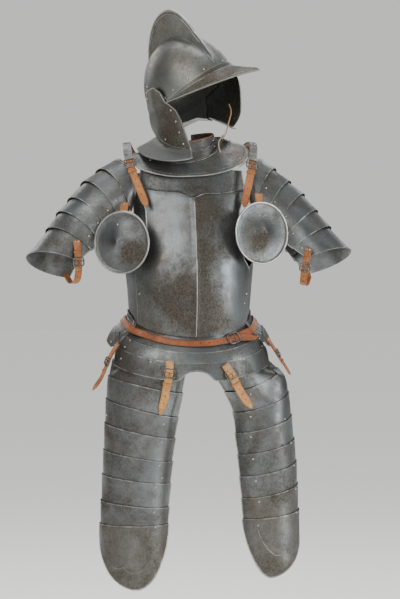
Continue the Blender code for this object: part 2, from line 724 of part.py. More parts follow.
def cheeks_and_guard():
    """Hinged cheekpieces and the neck guard under them, all flared at the lower edge."""
    core = on_helmet(SKULL_BACKSET, 0, -30)
    for side in (RIGHT, LEFT):
        rows = []
        for row in HEAD:
            front = row.right_front if side == RIGHT else row.left_front
            dip = LEFT_CHEEK_DIP * ramp(-row.r, *CHEEK_DIP_FROM) if side == LEFT else 0.0
            line = []
            for share in spread(0, 1, 6):
                lowered = row._replace(r=row.r - dip * max(0.0, 1 - share / CHEEK_DIP_SHARE))
                line.append(head_point(lowered, -side * lerp(front, row.cheek_rear, share), 1.6))
            rows.append(line)
        plate(f"cheekpiece_{SIDE_NAMES[side]}", rows, core, LAME_WALL, HELMET_STEEL)
    sides = spread(-GUARD_HALF_ANGLE, GUARD_HALF_ANGLE, 14)
    rows = [
        [skull_point(SKULL_NAPE_ANGLE - 5, side, GUARD_LAP) for side in sides],
        [skull_point(SKULL_NAPE_ANGLE, side, GUARD_LAP) for side in sides],
    ]
    for row in HEAD[-GUARD_ROWS:]:
        lower = row._replace(r=row.r + GUARD_LOWER)
        rows.append([head_point(lower, 180 + side, GUARD_LIFT) for side in sides])
    plate("neck_guard", rows, core, LAME_WALL, HELMET_STEEL)


def on_path(points, share):
    """Point at a share of the way along a smooth curve through the given ones."""
    table = [Place(*point) for point in points]
    return Vector(blend(table, (len(table) - 1) * min(max(share, 0.0), 1.0)))


def buckle_cutter(name, centre, across, along, width, height):
    """Closed wire frame that a strap's solid is joined with."""
    wire = bpy.data.curves.new(name + "_frame", "CURVE")
    wire.dimensions = "3D"
    wire.bevel_depth = BUCKLE_WIRE * MM / 2
    wire.bevel_resolution = 1
    loop = wire.splines.new("POLY")
    cut = 0.22 * height
    corners = [
        (-width / 2, -height / 2 + cut), (-width / 2 + cut, -height / 2),
        (width / 2 - cut, -height / 2), (width / 2, -height / 2 + cut),
        (width / 2, height / 2 - cut), (width / 2 - cut, height / 2),
        (-width / 2 + cut, height / 2), (-width / 2, height / 2 - cut),
    ]
    loop.points.add(len(corners) - 1)
    loop.use_cyclic_u = True
    for point, (u, v) in zip(loop.points, corners):
        point.co = (*((centre + across * u + along * v) * MM), 1.0)
    holder = bpy.data.objects.new(name + "_wire", wire)
    CUTTERS.objects.link(holder)
    graph = bpy.context.evaluated_depsgraph_get()
    mesh = bpy.data.meshes.new_from_object(holder.evaluated_get(graph))
    frame = bmesh.new()
    frame.from_mesh(mesh)
    bmesh.ops.remove_doubles(frame, verts=frame.verts, dist=0.01 * MM)
    bmesh.ops.recalc_face_normals(frame, faces=frame.faces)
    frame.to_mesh(mesh)
    frame.free()
    bpy.data.objects.remove(holder, do_unlink=True)
    cutter = bpy.data.objects.new(name + "_frame", mesh)
    CUTTERS.objects.link(cutter)
    cutter.hide_render = True
    cutter.display_type = "WIRE"
    return cutter


def join_buckle(thing, centre, across, along, width, height):
    """Make a buckle's frame one solid with its strap."""
    joined = thing.modifiers.new("buckle", "BOOLEAN")
    joined.operation = "UNION"
    joined.solver = "EXACT"
    joined.object = buckle_cutter(thing.name, centre, across, along, width, height)


def strap(name, path, width, inside, buckle_at=None, buckle_size=(26, 22), pointed=True, steps=12):
    """Leather strap whose inner face runs through the path, with its buckle joined on.

    inside is a point, or one for each end, that the strap's inner face looks at.
    """
    points = [on_path(path, i / steps) for i in range(steps + 1)]
    cores = inside if isinstance(inside, list) else [inside, inside]
    rows = []
    for i, point in enumerate(points):
        along = (points[min(i + 1, steps)] - points[max(i - 1, 0)]).normalized()
        core = Vector(cores[0]).lerp(Vector(cores[1]), i / steps)
        across = along.cross(point - core).normalized()
        half = width / 2
        if pointed and i == steps:
            half *= 0.3
        rows.append([point - across * half, point + across * half])
    middle = Vector(cores[0]).lerp(Vector(cores[1]), 0.5)
    thing = plate(name, rows, middle, STRAP_WALL, LEATHER, outward=True)
    if buckle_at is not None:
        length = sum((b - a).length for a, b in zip(points, points[1:]))
        reach = buckle_size[1] / 2 / length
        above = on_path(path, buckle_at - reach)
        below = on_path(path, buckle_at + reach)
        along = (below - above).normalized()
        core = Vector(cores[0]).lerp(Vector(cores[1]), buckle_at)
        across = along.cross(above - core).normalized()
        away = across.cross(along).normalized()
        if away.dot(above - core) < 0:
            away = -away
        centre = (above + below) / 2 + away * (STRAP_WALL + BUCKLE_WIRE * BUCKLE_STANDS)
        join_buckle(thing, centre, across, along, *buckle_size)


def on_front(table, x, z, lift):
    """Point of a body ring surface that shows at x and z from the front."""
    low, high = 0.0, len(table) - 1.0
    for _ in range(24):
        level = (low + high) / 2
        row = blend(table, level)
        angle = degrees_of(asin(min(max(x / (row.half_width + lift), -1.0), 1.0)))
        point = ring_point(table, level, angle, lift)
        if point.z > z:
            low = level
        else:
            high = level
    return point


def on_leg(side, x, z, lift):
    """Point of a thigh defence that shows at x and z from the front."""
    low, high = 0.0, 7.0
    for _ in range(24):
        level = (low + high) / 2
        first, last = 5.0, 175.0
        for _ in range(24):
            angle = (first + last) / 2
            point = leg_point(side, level, angle, lift)
            if (point.x - x) * side > 0:
                first = angle
            else:
                last = angle
        if point.z > z:
            low = level
        else:
            high = level
    return point


def straps():
    """Shoulder, thigh, hip, arm and disc straps."""
    for side in (RIGHT, LEFT):
        word = SIDE_NAMES[side]
        strap(f"shoulder_strap_{word}", SHOULDER_STRAPS[side], 18, (side * 134, 20, -40), 0.56, steps=16)
        path = [on_front(SKIRT, *spot) for spot in THIGH_STRAP_TOPS[side]]
        path += [on_leg(side, *spot) for spot in THIGH_STRAP_TAILS[side]]
        cores = [(path[0].x * 0.9, 0, path[0].z), (path[-1].x * 0.9, 0, path[-1].z)]
        strap(f"thigh_strap_{word}", path, 19, cores, 0.32)
        strap(f"hip_strap_{word}", HIP_STRAPS[side], 15, (side * 120, -30, -470), 0.4, (21, 18))
        strap(f"arm_strap_{word}", ARM_STRAPS[side], 17, ARM_STRAP_CORES[side], 0.3, (24, 20))
        place = DISCS[side]
        turn = Matrix.Rotation(radians(place.azimuth), 3, "Z")
        centre = Vector((place.x, place.y, place.z))
        path = [centre + turn @ Vector(point) for point in DISC_STRAP]
        strap(f"besagew_strap_{word}", path, 22, centre + turn @ Vector((0, 60, 20)), pointed=False)


def belt_point(level, angle, lift):
    """Place of the belt's inner face: over the first front lame, and over the rear one from the hips."""
    away = abs((angle + 180) % 360 - 180)
    share = ramp(away, *BELT_HIP_ANGLES)
    return ring_point(SKIRT, level, angle, BELT_LIFT + lift + (CULET_LIFT + 0.8) * share)


def waist_belt():
    """Belt that starts under its buckle, runs round the back and ends in a loose tail."""
    rows = []
    steps = 44
    for i, angle in enumerate(spread(BELT_START, BELT_START + 360 + BELT_TAIL, steps)):
        lap = min(max((angle - BELT_START - 325) / 28, 0.0), 1.0)
        drop = max(angle - BELT_START - 360, 0.0) / BELT_TAIL
        top, bottom = (level + 0.5 * drop ** 1.5 for level in BELT_LEVELS)
        if i == steps:
            top, bottom = lerp(top, bottom, 0.3), lerp(top, bottom, 0.7)
        rows.append([belt_point(level, angle, BELT_LAP * lap) for level in (top, bottom)])
    thing = plate("waist_belt", rows, (0, 0, -380), STRAP_WALL, LEATHER, outward=True)
    lift = BELT_LAP + STRAP_WALL + BUCKLE_WIRE * BUCKLE_STANDS
    middle = sum(BELT_LEVELS) / 2
    centre = belt_point(middle, BELT_START + 4, lift)
    across = (belt_point(middle, BELT_START + 8, lift) - centre).normalized()
    along = (belt_point(BELT_LEVELS[1], BELT_START + 4, lift) - centre).normalized()
    join_buckle(thing, centre, across, along, 36, 25)


def cheek_lace():
    """Thin leather thong that hangs knotted from the left cheekpiece."""
    wire = bpy.data.curves.new("cheek_lace", "CURVE")
    wire.dimensions = "3D"
    wire.bevel_depth = LACE_THICKNESS * MM / 2
    wire.bevel_resolution = 2
    wire.use_fill_caps = True
    line = wire.splines.new("POLY")
    points = [on_path(LACE, share) for share in spread(0, 1, 30)]
    line.points.add(len(points) - 1)
    for point, place in zip(line.points, points):
        point.co = (*(place * MM), 1.0)
    lace = bpy.data.objects.new("cheek_lace", wire)
    ARMOUR.objects.link(lace)
    wire.materials.append(material(THONG))


def build_armour():
    body_plates()
    fauld()
    culet()
    gorget()
    spaudlers()
    tassets()
    besagews()
    burgonet_skull()
    burgonet_peak()
    cheeks_and_guard()
    waist_belt()
    straps()
    cheek_lace()


build_armour()
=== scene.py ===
"""Dressed model of an infantry corselet: aged steel plates, riveted lames and leather straps.

Shapes are worked out in millimetres in the frame's own axes: the chest faces -Y, +Z is up and
the wearer's left is +X. Each piece replaces the frame node whose place it takes.
"""
from collections import namedtuple
from math import asin, cos, floor, pi, radians, sin, sqrt

import bmesh
import bpy
import numpy as np
from mathutils import Matrix, Vector, noise
from mathutils.bvhtree import BVHTree


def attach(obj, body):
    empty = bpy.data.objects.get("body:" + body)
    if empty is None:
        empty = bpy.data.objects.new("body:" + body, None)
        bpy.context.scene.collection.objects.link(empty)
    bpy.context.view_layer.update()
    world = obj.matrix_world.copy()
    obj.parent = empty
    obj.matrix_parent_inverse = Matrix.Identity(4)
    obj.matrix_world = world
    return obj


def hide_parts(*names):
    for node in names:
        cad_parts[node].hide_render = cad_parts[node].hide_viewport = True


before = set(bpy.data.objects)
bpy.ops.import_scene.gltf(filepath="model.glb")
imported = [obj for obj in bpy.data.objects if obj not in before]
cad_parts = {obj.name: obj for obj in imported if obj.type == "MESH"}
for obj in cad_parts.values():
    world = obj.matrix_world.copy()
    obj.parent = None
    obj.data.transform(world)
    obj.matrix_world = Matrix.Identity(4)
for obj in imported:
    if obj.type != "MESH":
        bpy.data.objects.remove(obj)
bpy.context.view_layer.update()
MM = 0.001
RIGHT = -1
LEFT = 1
SIDE_NAMES = {RIGHT: "right", LEFT: "left"}

# Camera, at the photograph's viewing angle
VIEW_AZIMUTH = -7
VIEW_SPAN = 1.4136
VIEW_LENS = 100
VIEW_SENSOR = 36
VIEW_CLIP = 0.05
VIEW_RIGHT = Vector((cos(radians(VIEW_AZIMUTH)), sin(radians(VIEW_AZIMUTH)), 0))
VIEW_BACK = Vector((sin(radians(VIEW_AZIMUTH)), -cos(radians(VIEW_AZIMUTH)), 0))
VIEW_TARGET = VIEW_RIGHT * 0.026 + Vector((0, 0, -0.3174))
VIEW_FROM = VIEW_TARGET + VIEW_BACK * (VIEW_SPAN * VIEW_LENS / VIEW_SENSOR)
PHOTO_WIDTH = 400
PHOTO_HEIGHT = 599

# Body rings
TorsoRow = namedtuple("TorsoRow", "z_front z_side z_back half_width front back")
TORSO = (
    TorsoRow(5, 5, 5, 150, 70, 84),
    TorsoRow(-50, -50, -50, 155, 84, 106),
    TorsoRow(-110, -110, -110, 157, 106, 117),
    TorsoRow(-190, -190, -190, 156, 134, 111),
    TorsoRow(-262, -250, -250, 153, 150, 97),
    TorsoRow(-335, -300, -298, 148, 150, 86),
    TorsoRow(-403, -347, -343, 145, 134, 83),
)
RIDGE_RISE = 5
RIDGE_HALF_WIDTH = 52
RIDGE_START_LEVEL = 1.1
EdgeRow = namedtuple("EdgeRow", "level half_angle")
BREAST_EDGE = (
    EdgeRow(0, 49), EdgeRow(1, 53), EdgeRow(2, 44), EdgeRow(3, 43),
    EdgeRow(3.5, 50), EdgeRow(3.9, 61), EdgeRow(6, 61),
)
BACK_EDGE = (
    EdgeRow(0, 50), EdgeRow(1, 55), EdgeRow(2, 54), EdgeRow(3, 64),
    EdgeRow(3.5, 96), EdgeRow(3.9, 124), EdgeRow(6, 124),
)
BODY_SPANS = ((0.45, 0.95, 8), (0.97, 1.75, 40), (1.83, 5.9, 46))
BODY_BOTTOM_LEVEL = 6.0
BODY_CORE = (0, 0, -200)
BACK_LIFT = -2.6
SKIRT = (
    TorsoRow(-396, -340, -341, 137, 126, 76),
    TorsoRow(-412, -356, -357, 140, 129, 80),
    TorsoRow(-446, -384, -392, 169, 144, 112),
    TorsoRow(-468, -412, -434, 186, 152, 136),
    TorsoRow(-503, -446, -470, 194, 158, 150),
)
SkirtLame = namedtuple("SkirtLame", "top bottom")
FAULD = (SkirtLame(0, 2), SkirtLame(1.78, 3), SkirtLame(2.78, 4))
CULET = (SkirtLame(0, 2), SkirtLame(1.78, 3))
FAULD_HALF_ANGLE = 69
CROTCH_ARCH_HALF_WIDTH = 42
CROTCH_ARCH_RISE = 26
CULET_START_ANGLE = 68
CULET_LIFT = 9.0
CULET_LEAF = 7.0
SKIRT_CORE = (0, 0, -430)
CULET_CORE = (0, 0, -420)

# Collar and gorget
COLLAR_HALF_WIDTH = 66
COLLAR_FRONT = 66
COLLAR_BACK = 64
COLLAR_FORWARD = -6
COLLAR_BASE_REAR = 30
COLLAR_BASE_FRONT = 4
COLLAR_SIDE_RISE = 22
COLLAR_TOP_REAR = 72
COLLAR_TOP_FRONT = 50
COLLAR_TAPER = 6
COLLAR_HALF_ANGLE = 170
COLLAR_CORE = (0, 0, 30)
COLLAR_LAMES = (("lower", 0.0, 0.5, 0.0), ("upper", 0.42, 1.0, -2.4))
GORGET_CORE = (0, 0, -60)
GORGET_BOW = -1.2
NECK_SLOPE = 0.2
EDGE_SLOPE = 0.06
GorgetRow = namedtuple("GorgetRow", "base_x base_y base_z edge_x edge_y edge_z")
GORGET_FRONT = (
    GorgetRow(0, -76, 2, 0, -88, -32),
    GorgetRow(30, -71, 5, 46, -86, -30),
    GorgetRow(56, -56, 16, 91, -82, -20),
    GorgetRow(70, -34, 32, 122, -62, -6),
    GorgetRow(77, -14, 44, 141, -34, 24),
    GorgetRow(79, 0.5, 50, 146, -4, 35),
)
GORGET_BACK = (
    GorgetRow(79, 3, 50, 146, -1, 35),
    GorgetRow(76, 22, 54, 140, 36, 26),
    GorgetRow(62, 44, 58, 112, 78, 6),
    GorgetRow(36, 62, 61, 62, 104, -14),
    GorgetRow(0, 68, 62, 0, 112, -20),
)

# Limb rings: outer and inner edges as seen from the front, and the depth
LimbRow = namedtuple("LimbRow", "outer_x outer_z inner_x inner_z depth")
ARMS = {
    RIGHT: (
        LimbRow(-172, 14, -142, -112, 74),
        LimbRow(-212, -15, -146, -150, 76),
        LimbRow(-248, -44, -166, -178, 75),
        LimbRow(-280, -83, -186, -202, 73),
        LimbRow(-307, -116, -203, -221, 70),
        LimbRow(-332, -155, -220, -235, 68),
        LimbRow(-378, -218, -240, -254, 72),
    ),
    LEFT: (
        LimbRow(174, 20, 146, -104, 74),
        LimbRow(208, -10, 150, -142, 76),
        LimbRow(244, -40, 170, -170, 75),
        LimbRow(277, -70, 190, -194, 73),
        LimbRow(309, -109, 208, -214, 70),
        LimbRow(341, -149, 228, -228, 68),
        LimbRow(388, -205, 252, -246, 72),
    ),
}
ARM_CENTRE_Y = 12
ARM_TILT = 18
ARM_COVER = (-120, 124)
ARM_OVERLAP = 0.32
ARM_SINK = -1.6
ARM_FLARE = 4.0
LEGS = {
    RIGHT: (
        LimbRow(-180, -456, -12, -486, 92),
        LimbRow(-190, -510, -22, -552, 90),
        LimbRow(-194, -562, -32, -604, 84),
        LimbRow(-197, -620, -38, -654, 80),
        LimbRow(-200, -683, -44, -708, 77),
        LimbRow(-203, -739, -48, -758, 74),
        LimbRow(-206, -800, -52, -813, 72),
        LimbRow(-208, -847, -53, -847, 71),
    ),
    LEFT: (
        LimbRow(160, -446, 48, -490, 92),
        LimbRow(206, -489, 82, -548, 90),
        LimbRow(222, -544, 96, -592, 84),
        LimbRow(231, -599, 101, -641, 80),
        LimbRow(239, -655, 107, -692, 77),
        LimbRow(245, -708, 111, -743, 74),
        LimbRow(248, -762, 116, -793, 72),
        LimbRow(251, -818, 118, -836, 71),
    ),
}
LEG_CENTRE_Y = -18
LEG_SPLAY = {RIGHT: 16, LEFT: 28}
LEG_COVER = (-24, 176)
LEG_OVERLAP = 0.26
SKIRT_BLEND = (0.8, 0.4, 0.12, 0.0)
SKIRT_INSIDE = 8
SKIRT_LEAST = 0.16
SKIRT_SOFT = 0.02
TUCK_Z = (-494, -474)
TUCK_Y = (-30, -58)
KNEE_LEVEL = 7
KNEE_COVER = (4, 176)
BROWNED_FROM = {RIGHT: 7, LEFT: 6}
KNEE_MIDDLE_ANGLE = {RIGHT: 103, LEFT: 117}
KNEE_SCALE = {RIGHT: 0.98, LEFT: 0.93}
KneeRow = namedtuple("KneeRow", "drop width")
KNEE = (
    KneeRow(-8, 1.0), KneeRow(0, 1.0), KneeRow(26, 0.99), KneeRow(56, 0.94), KneeRow(84, 0.83),
    KneeRow(108, 0.67), KneeRow(125, 0.48), KneeRow(135, 0.28), KneeRow(140, 0.1),
)
DiscPlace = namedtuple("DiscPlace", "x y z azimuth")
DISCS = {RIGHT: DiscPlace(-165, -104, -187, -34), LEFT: DiscPlace(155, -104, -164, 24)}

# Helmet, in its own frame: p forward, q to the wearer's left, r up, from the ear axis
HELMET_AT = (9.5, -42, 167.5)
HELMET_YAW = 29
HELMET_TILT = 9
HELMET_ROLL = 23
SKULL_BACKSET = -10
SKULL_LENGTH = 124
SKULL_HEIGHT = 136
SKULL_WIDTH = 100
SKULL_BROW_ANGLE = 11
SKULL_NAPE_ANGLE = 198
SKULL_SIDE_ANGLE = 78
CombRow = namedtuple("CombRow", "fan height")
COMB = (
    CombRow(17, 0), CombRow(25, 6), CombRow(36, 12.5), CombRow(51, 26), CombRow(61, 45), CombRow(69, 58),
    CombRow(79, 64), CombRow(92, 58), CombRow(104, 46), CombRow(118, 32), CombRow(136, 20),
    CombRow(158, 13), CombRow(178, 7), CombRow(192, 0),
)
LEAN = 0.3
HeadRow = namedtuple("HeadRow", "r rise sink length width flare right_front left_front cheek_rear")
HEAD = (
    HeadRow(46, 0, 0, 128, 105, 0, 87, 87, 99),
    HeadRow(30, 0, 0, 128, 105, 0, 81, 78, 108),
    HeadRow(6, 0, 0, 128, 105, 0, 80, 64, 118),
    HeadRow(-20, 0, 0, 126, 104, 0, 69, 50, 126),
    HeadRow(-45, 8, 0, 124, 102, 0, 65, 42, 130),
    HeadRow(-78, 30, 0, 120, 98, 0, 63, 55, 131),
    HeadRow(-110, 55, 5, 117, 95, 0, 61, 84, 131),
    HeadRow(-118, 60, 5, 122, 100, 6, 59, 92, 131),
    HeadRow(-132, 71, -5, 150, 122, 22, 57, 98, 131),
)
FACE_ANGLE = 60
NAPE_ANGLE = 135
GUARD_HALF_ANGLE = 58
GUARD_ROWS = 3
GUARD_LIFT = -2.4
GUARD_LOWER = -3.0
GUARD_LAP = 2.2
LEFT_CHEEK_DIP = 16
CHEEK_DIP_FROM = (70, 125)
CHEEK_DIP_SHARE = 0.7
PEAK_REACH = 122
PEAK_DROP = 39
PEAK_SIDE_ANGLE = 79
PEAK_LIFT = 2.4
CHEEK_LIFT = 1.6

# Straps, belt and lace
Place = namedtuple("Place", "x y z")
BELT_START = 33
BELT_TAIL = 28
BELT_LEVELS = (0.93, 1.40)
BELT_MIDDLE = sum(BELT_LEVELS) / 2
BELT_HALF = (BELT_LEVELS[1] - BELT_LEVELS[0]) / 2
BELT_LAP_START = 325
BELT_LAP_RUN = 28
BELT_LIFT = 1.0
BELT_LAP = 3.6
BELT_HIP_ANGLES = (46, 62)
SHOULDER_STRAPS = {
    RIGHT: ((-122, 66, 20), (-138, 40, 40), (-146, 0, 48), (-149, -30, 34), (-146, -56, 6),
            (-142, -68, -14), (-132, -77, -43), (-120, -85, -74), (-108, -97, -106)),
    LEFT: ((122, 66, 24), (139, 40, 46), (148, 0, 53), (148, -32, 37), (142, -58, 6),
           (138, -70, -15), (131, -77, -46), (124, -84, -76), (117, -95, -105)),
}
StrapSpot = namedtuple("StrapSpot", "x z lift")
THIGH_STRAP_TOPS = {
    RIGHT: (StrapSpot(-61, -457, 4.6), StrapSpot(-62, -476, 5.5), StrapSpot(-64, -494, 8.5)),
    LEFT: (StrapSpot(65, -465, 4.6), StrapSpot(75, -480, 5.5), StrapSpot(84, -494, 8.5)),
}
THIGH_STRAP_TAILS = {
    RIGHT: (StrapSpot(-67, -518, 13), StrapSpot(-71, -546, 8), StrapSpot(-79, -581, 5)),
    LEFT: (StrapSpot(98, -518, 13), StrapSpot(114, -542, 8), StrapSpot(134, -568, 5)),
}
HIP_STRAPS = {
    RIGHT: ((-171, -74, -419), (-187, -66, -446), (-198, -58, -472), (-210, -52, -500), (-229, -46, -528)),
    LEFT: ((172, -76, -407), (188, -72, -430), (204, -66, -454), (219, -60, -474), (232, -54, -494)),
}
ARM_STRAPS = {
    RIGHT: ((-268, -68, -180), (-265, -62, -214), (-263, -52, -246), (-266, -28, -272), (-277, 2, -277),
            (-290, 30, -254)),
    LEFT: ((274, -68, -196), (270, -62, -226), (267, -50, -256), (270, -24, -280), (282, 6, -276),
           (294, 32, -250)),
}
ARM_STRAP_CORES = {RIGHT: (-280, 10, -200), LEFT: (300, 10, -200)}
DISC_STRAP = ((0, 12, 92), (0, 8, 76), (0, 4, 58), (0, 3, 40))
LACE = (
    (88, -52, 139), (92, -58, 120), (84, -66, 90), (77, -72, 67), (62, -78, 52), (60, -82, 37), (64, -84, 22),
)
LACE_THICKNESS = 3.0
KNOT_SHARE = 0.56
KNOT_TURNS = ((-1.6, 0.35, 2.5), (1.5, -0.3, 2.6))
SEARCH_STEPS = 24

# Stage
FLOOR_RADIUS = 60
FLOOR_SEGMENTS = 96
FLOOR_LEVEL = -1.45
FLOOR_COLOUR = (0.88, 0.87, 0.855, 1)
FLOOR_ROUGHNESS = 0.9
LIGHTS_AIM = Vector((0, 0, -0.35))
Light = namedtuple("Light", "name place wide high power colour")
LIGHTS = (
    Light("key", (-1.9, -2.3, 1.3), 2.4, 2.4, 66, (1.0, 0.98, 0.95)),
    Light("side", (2.3, -1.3, -0.1), 0.8, 2.2, 46, (0.94, 0.97, 1.0)),
    Light("top", (0.1, 0.1, 2.3), 2.6, 2.0, 62, (1.0, 1.0, 1.0)),
    Light("front", (0.3, -3.6, 0.1), 2.2, 1.2, 26, (1.0, 0.98, 0.96)),
    Light("rear_left", (1.7, 2.6, 1.6), 2.0, 1.6, 24, (0.95, 0.98, 1.0)),
    Light("rear_right", (-1.9, 2.5, 1.4), 2.0, 1.6, 24, (1.0, 0.98, 0.95)),
)
SKY_COLOUR = (0.80, 0.80, 0.79, 1)
SKY_SEEN = 0.88
SKY_SOFT = 1.35
SKY_RAMP = ((0.30, (0.035, 0.036, 0.038, 1)), (0.95, (0.46, 0.47, 0.48, 1)))

# Sheets, rolled edges and rivets
BODY_WALL = 1.6
LAME_WALL = 1.4
WAVE = 38
FINE_WAVE = 15
FINE_WAVE_SHARE = 0.35
RIM_FAR = 14.0
SHARP_ANGLE = 38
TUBE_SIDES = 8
DOME_SIDES = 12
DOME_RINGS = ((1.0, -0.6), (1.0, 0.15), (0.86, 0.55), (0.55, 0.86))
# A bead's rim sets how much of the steel's bright edge colour it takes: rubbed wear and a painted highlight.
Bead = namedtuple("Bead", "borders radius rim inset", defaults=(0.4, 0.5))
BODY_BEADS = (Bead("se", 1.7),)
LAME_TOP_BEAD = Bead("t", 0.8, rim=1.3, inset=0.3)
FAULD_SIDE_BEADS = Bead("se", 1.2, rim=1.2)
FAULD_BEADS = (
    (FAULD_SIDE_BEADS,),
    (LAME_TOP_BEAD, FAULD_SIDE_BEADS),
    (LAME_TOP_BEAD, Bead("b", 1.7, rim=1.2), FAULD_SIDE_BEADS),
)
CULET_BEADS = (Bead("bse", 1.3, rim=1.2),)
GORGET_BEADS = (Bead("b", 2.0, rim=0.6), Bead("t", 1.2, rim=1.2))
SPAUDLER_BEADS = (Bead("b", 1.0, rim=1.3, inset=0.2), Bead("e", 1.9), Bead("s", 1.3))
SPAUDLER_TOP_BEAD = Bead("t", 2.0, rim=0.0)
TASSET_BEADS = (Bead("e", 2.0), Bead("s", 1.6))
KNEE_TIP_BEAD = Bead("b", 2.0)
PEAK_BEADS = (Bead("b", 2.0),)
CHEEK_BEADS = (Bead("s", 1.7), Bead("b", 2.0), Bead("e", 1.2), Bead("t", 1.0))
GUARD_BEADS = (Bead("b", 2.2), Bead("se", 1.2), Bead("t", 1.0))
Dome = namedtuple("Dome", "radius height")
RIVET = Dome(2.7, 1.9)
HELMET_RIVET = Dome(2.4, 1.6)
COLLAR_RIVET = Dome(2.2, 1.5)
COVER_RIVET = Dome(2.1, 1.5)
# Flat dark disc at a strap hole: painted shade standing for the depth of the hole.
HOLE_DOME = Dome(1.5, 0.3)
TONES = (0.0, 0.09, -0.06, 0.05, -0.09, 0.03, -0.03, 0.07)
BREAST_TONE = 0.04
BACK_TONE = -0.03
GORGET_TONE = 0.16
DISC_TONE = 0.05
PEAK_TONE = -0.12
CHEEK_TONE = -0.14
GUARD_TONE = 0.35

BAND_RADIUS = 1.2
RIDGE_RADIUS = 1.0
ARC_RADIUS = 1.1
CREASE_RADIUS = 1.2
NECK_LINE_RADIUS = 0.8
COLLAR_LINE_RADIUS = 1.2
BINDING_RADIUS = 1.7
ARM_LINE_RADIUS = 1.2
DISC_RIM_RADIUS = 2.4
CREST_RADIUS = 2.4
CREST_SPAN = (22, 188)
COMB_LINE_SIDE = 1.5
COMB_LINE_SPAN = (42, 150)
COMB_LINE_DROP = 8
COMB_LINE_RADIUS = 1.0
SKULL_EDGE_SPAN = (12, 197)
SKULL_EDGE_RADIUS = 1.2
PEAK_LINE_RADII = (0.8, 1.0)
# Worked lines take part of the bright edge colour: a painted highlight along their crest.
LINE_RIM = 1.0

# Worked lines, stains with painted highlights and shade, and rivets of the plates; pixels are those of a 400
# by 599 frame
BandSpot = namedtuple("BandSpot", "x z")
BAND_LINE = (
    BandSpot(-150, -50), BandSpot(-121, -59), BandSpot(-82, -66), BandSpot(-35, -69), BandSpot(-16, -75),
    BandSpot(-4, -83), BandSpot(8, -80), BandSpot(27, -74), BandSpot(61, -74), BandSpot(100, -68),
    BandSpot(150, -56),
)
BAND_STEP = 3.4
BAND_WIDTH = 4.0
BAND_FADE = 60
BAND_PIXELS = (
    (139, 186), (144, 187), (160, 190), (180, 191.4), (188, 194), (193, 197.5), (198, 196), (206, 193.4),
    (220.5, 193.4), (233, 191.4), (239, 189.4),
)
CREST_RISE = 3.2
CREST_HALF_WIDTH = 8
CREST_START = 12
RIDGE_TOP = -84
ARMHOLE_BOTTOM_LEVEL = 3.9
Patch = namedtuple("Patch", "x z radius weight")
# Round patches on the breastplate: most are pitted patina, but the two lighter ones on the belly at x 95 are
# painted highlights and the darker one on the flank at x -118 is a painted warm reflection.
BREAST_STAINS_AND_PAINTED_LIGHT = (
    Patch(46, -110, 46, 0.08), Patch(44, -180, 44, 0.05), Patch(-55, -305, 48, 0.18),
    Patch(-22, -270, 30, 0.10), Patch(-10, -355, 60, 0.13), Patch(95, -255, 44, -0.20),
    Patch(95, -330, 40, -0.14), Patch(-118, -290, 30, 0.08),
)
PATINA_LEFT = 0.15
PATINA_RIGHT = -0.09
PATINA_TOP = (-66, -80)
PATINA_REACH = 70
PATINA_LOW = (-215, -300)
BREAST_RIVETS = ((127.5, 307), (244.5, 303))
FAULD_RIVETS = (
    (133.3, 333), (129.9, 340.3), (124.7, 347), (255.3, 332), (259.6, 338.6), (150.5, 362), (244, 359),
    (121, 358.5), (262, 346),
)
GORGET_RIVETS = ((160.5, 150), (228, 146.5), (150, 160), (240, 158))
SPAUDLER_RIVETS = {
    RIGHT: ((115.7, 200.2), (107.8, 210.4), (98.1, 223), (89, 236), (121, 187)),
    LEFT: ((274.7, 202), (285.6, 216.4), (293, 233.6), (301.7, 248), (266, 188)),
}
TASSET_RIVETS = {
    RIGHT: (
        (163.6, 424), (161.6, 442.4), (159, 465.7), (161.9, 478), (155.7, 487),
        (154.3, 512.3), (155.2, 527.3), (102.3, 459), (101.5, 482.4), (101, 505),
        (168, 406), (104.5, 437), (106.5, 415),
    ),
    LEFT: (
        (250.6, 394), (250.6, 416.6), (250.6, 437.2), (252.8, 459), (255.8, 481),
        (259.2, 501.7), (258, 525.3), (294.2, 465.3), (296.3, 512.3), (291, 443), (295.6, 489), (285, 419),
    ),
}
KNEE_ARCS = {
    RIGHT: (
        (110.7, 566), (115.5, 568.4), (120.5, 568.6), (123.3, 566.8), (124.8, 569.4), (127.9, 572),
        (132.5, 573.2), (138.2, 572), (142.8, 568.6), (145.1, 564.4),
    ),
    LEFT: (
        (257.6, 529.5), (261.1, 538.7), (265.7, 546.1), (270.3, 551.3), (274.8, 554.8), (279.4, 555.5),
        (284, 553.4), (286.3, 551.3),
    ),
}
KNEE_LIFT = 1.8
ProfileRow = namedtuple("ProfileRow", "radius rise")
DISC_PROFILE = (
    ProfileRow(0, 29), ProfileRow(3, 26), ProfileRow(8, 21.8), ProfileRow(14, 17.4), ProfileRow(22, 12.6),
    ProfileRow(31, 8.8), ProfileRow(40, 6.2), ProfileRow(49, 4.2), ProfileRow(57, 2.9), ProfileRow(63, 2.5),
    ProfileRow(67, 3.2), ProfileRow(70, 5.0),
)
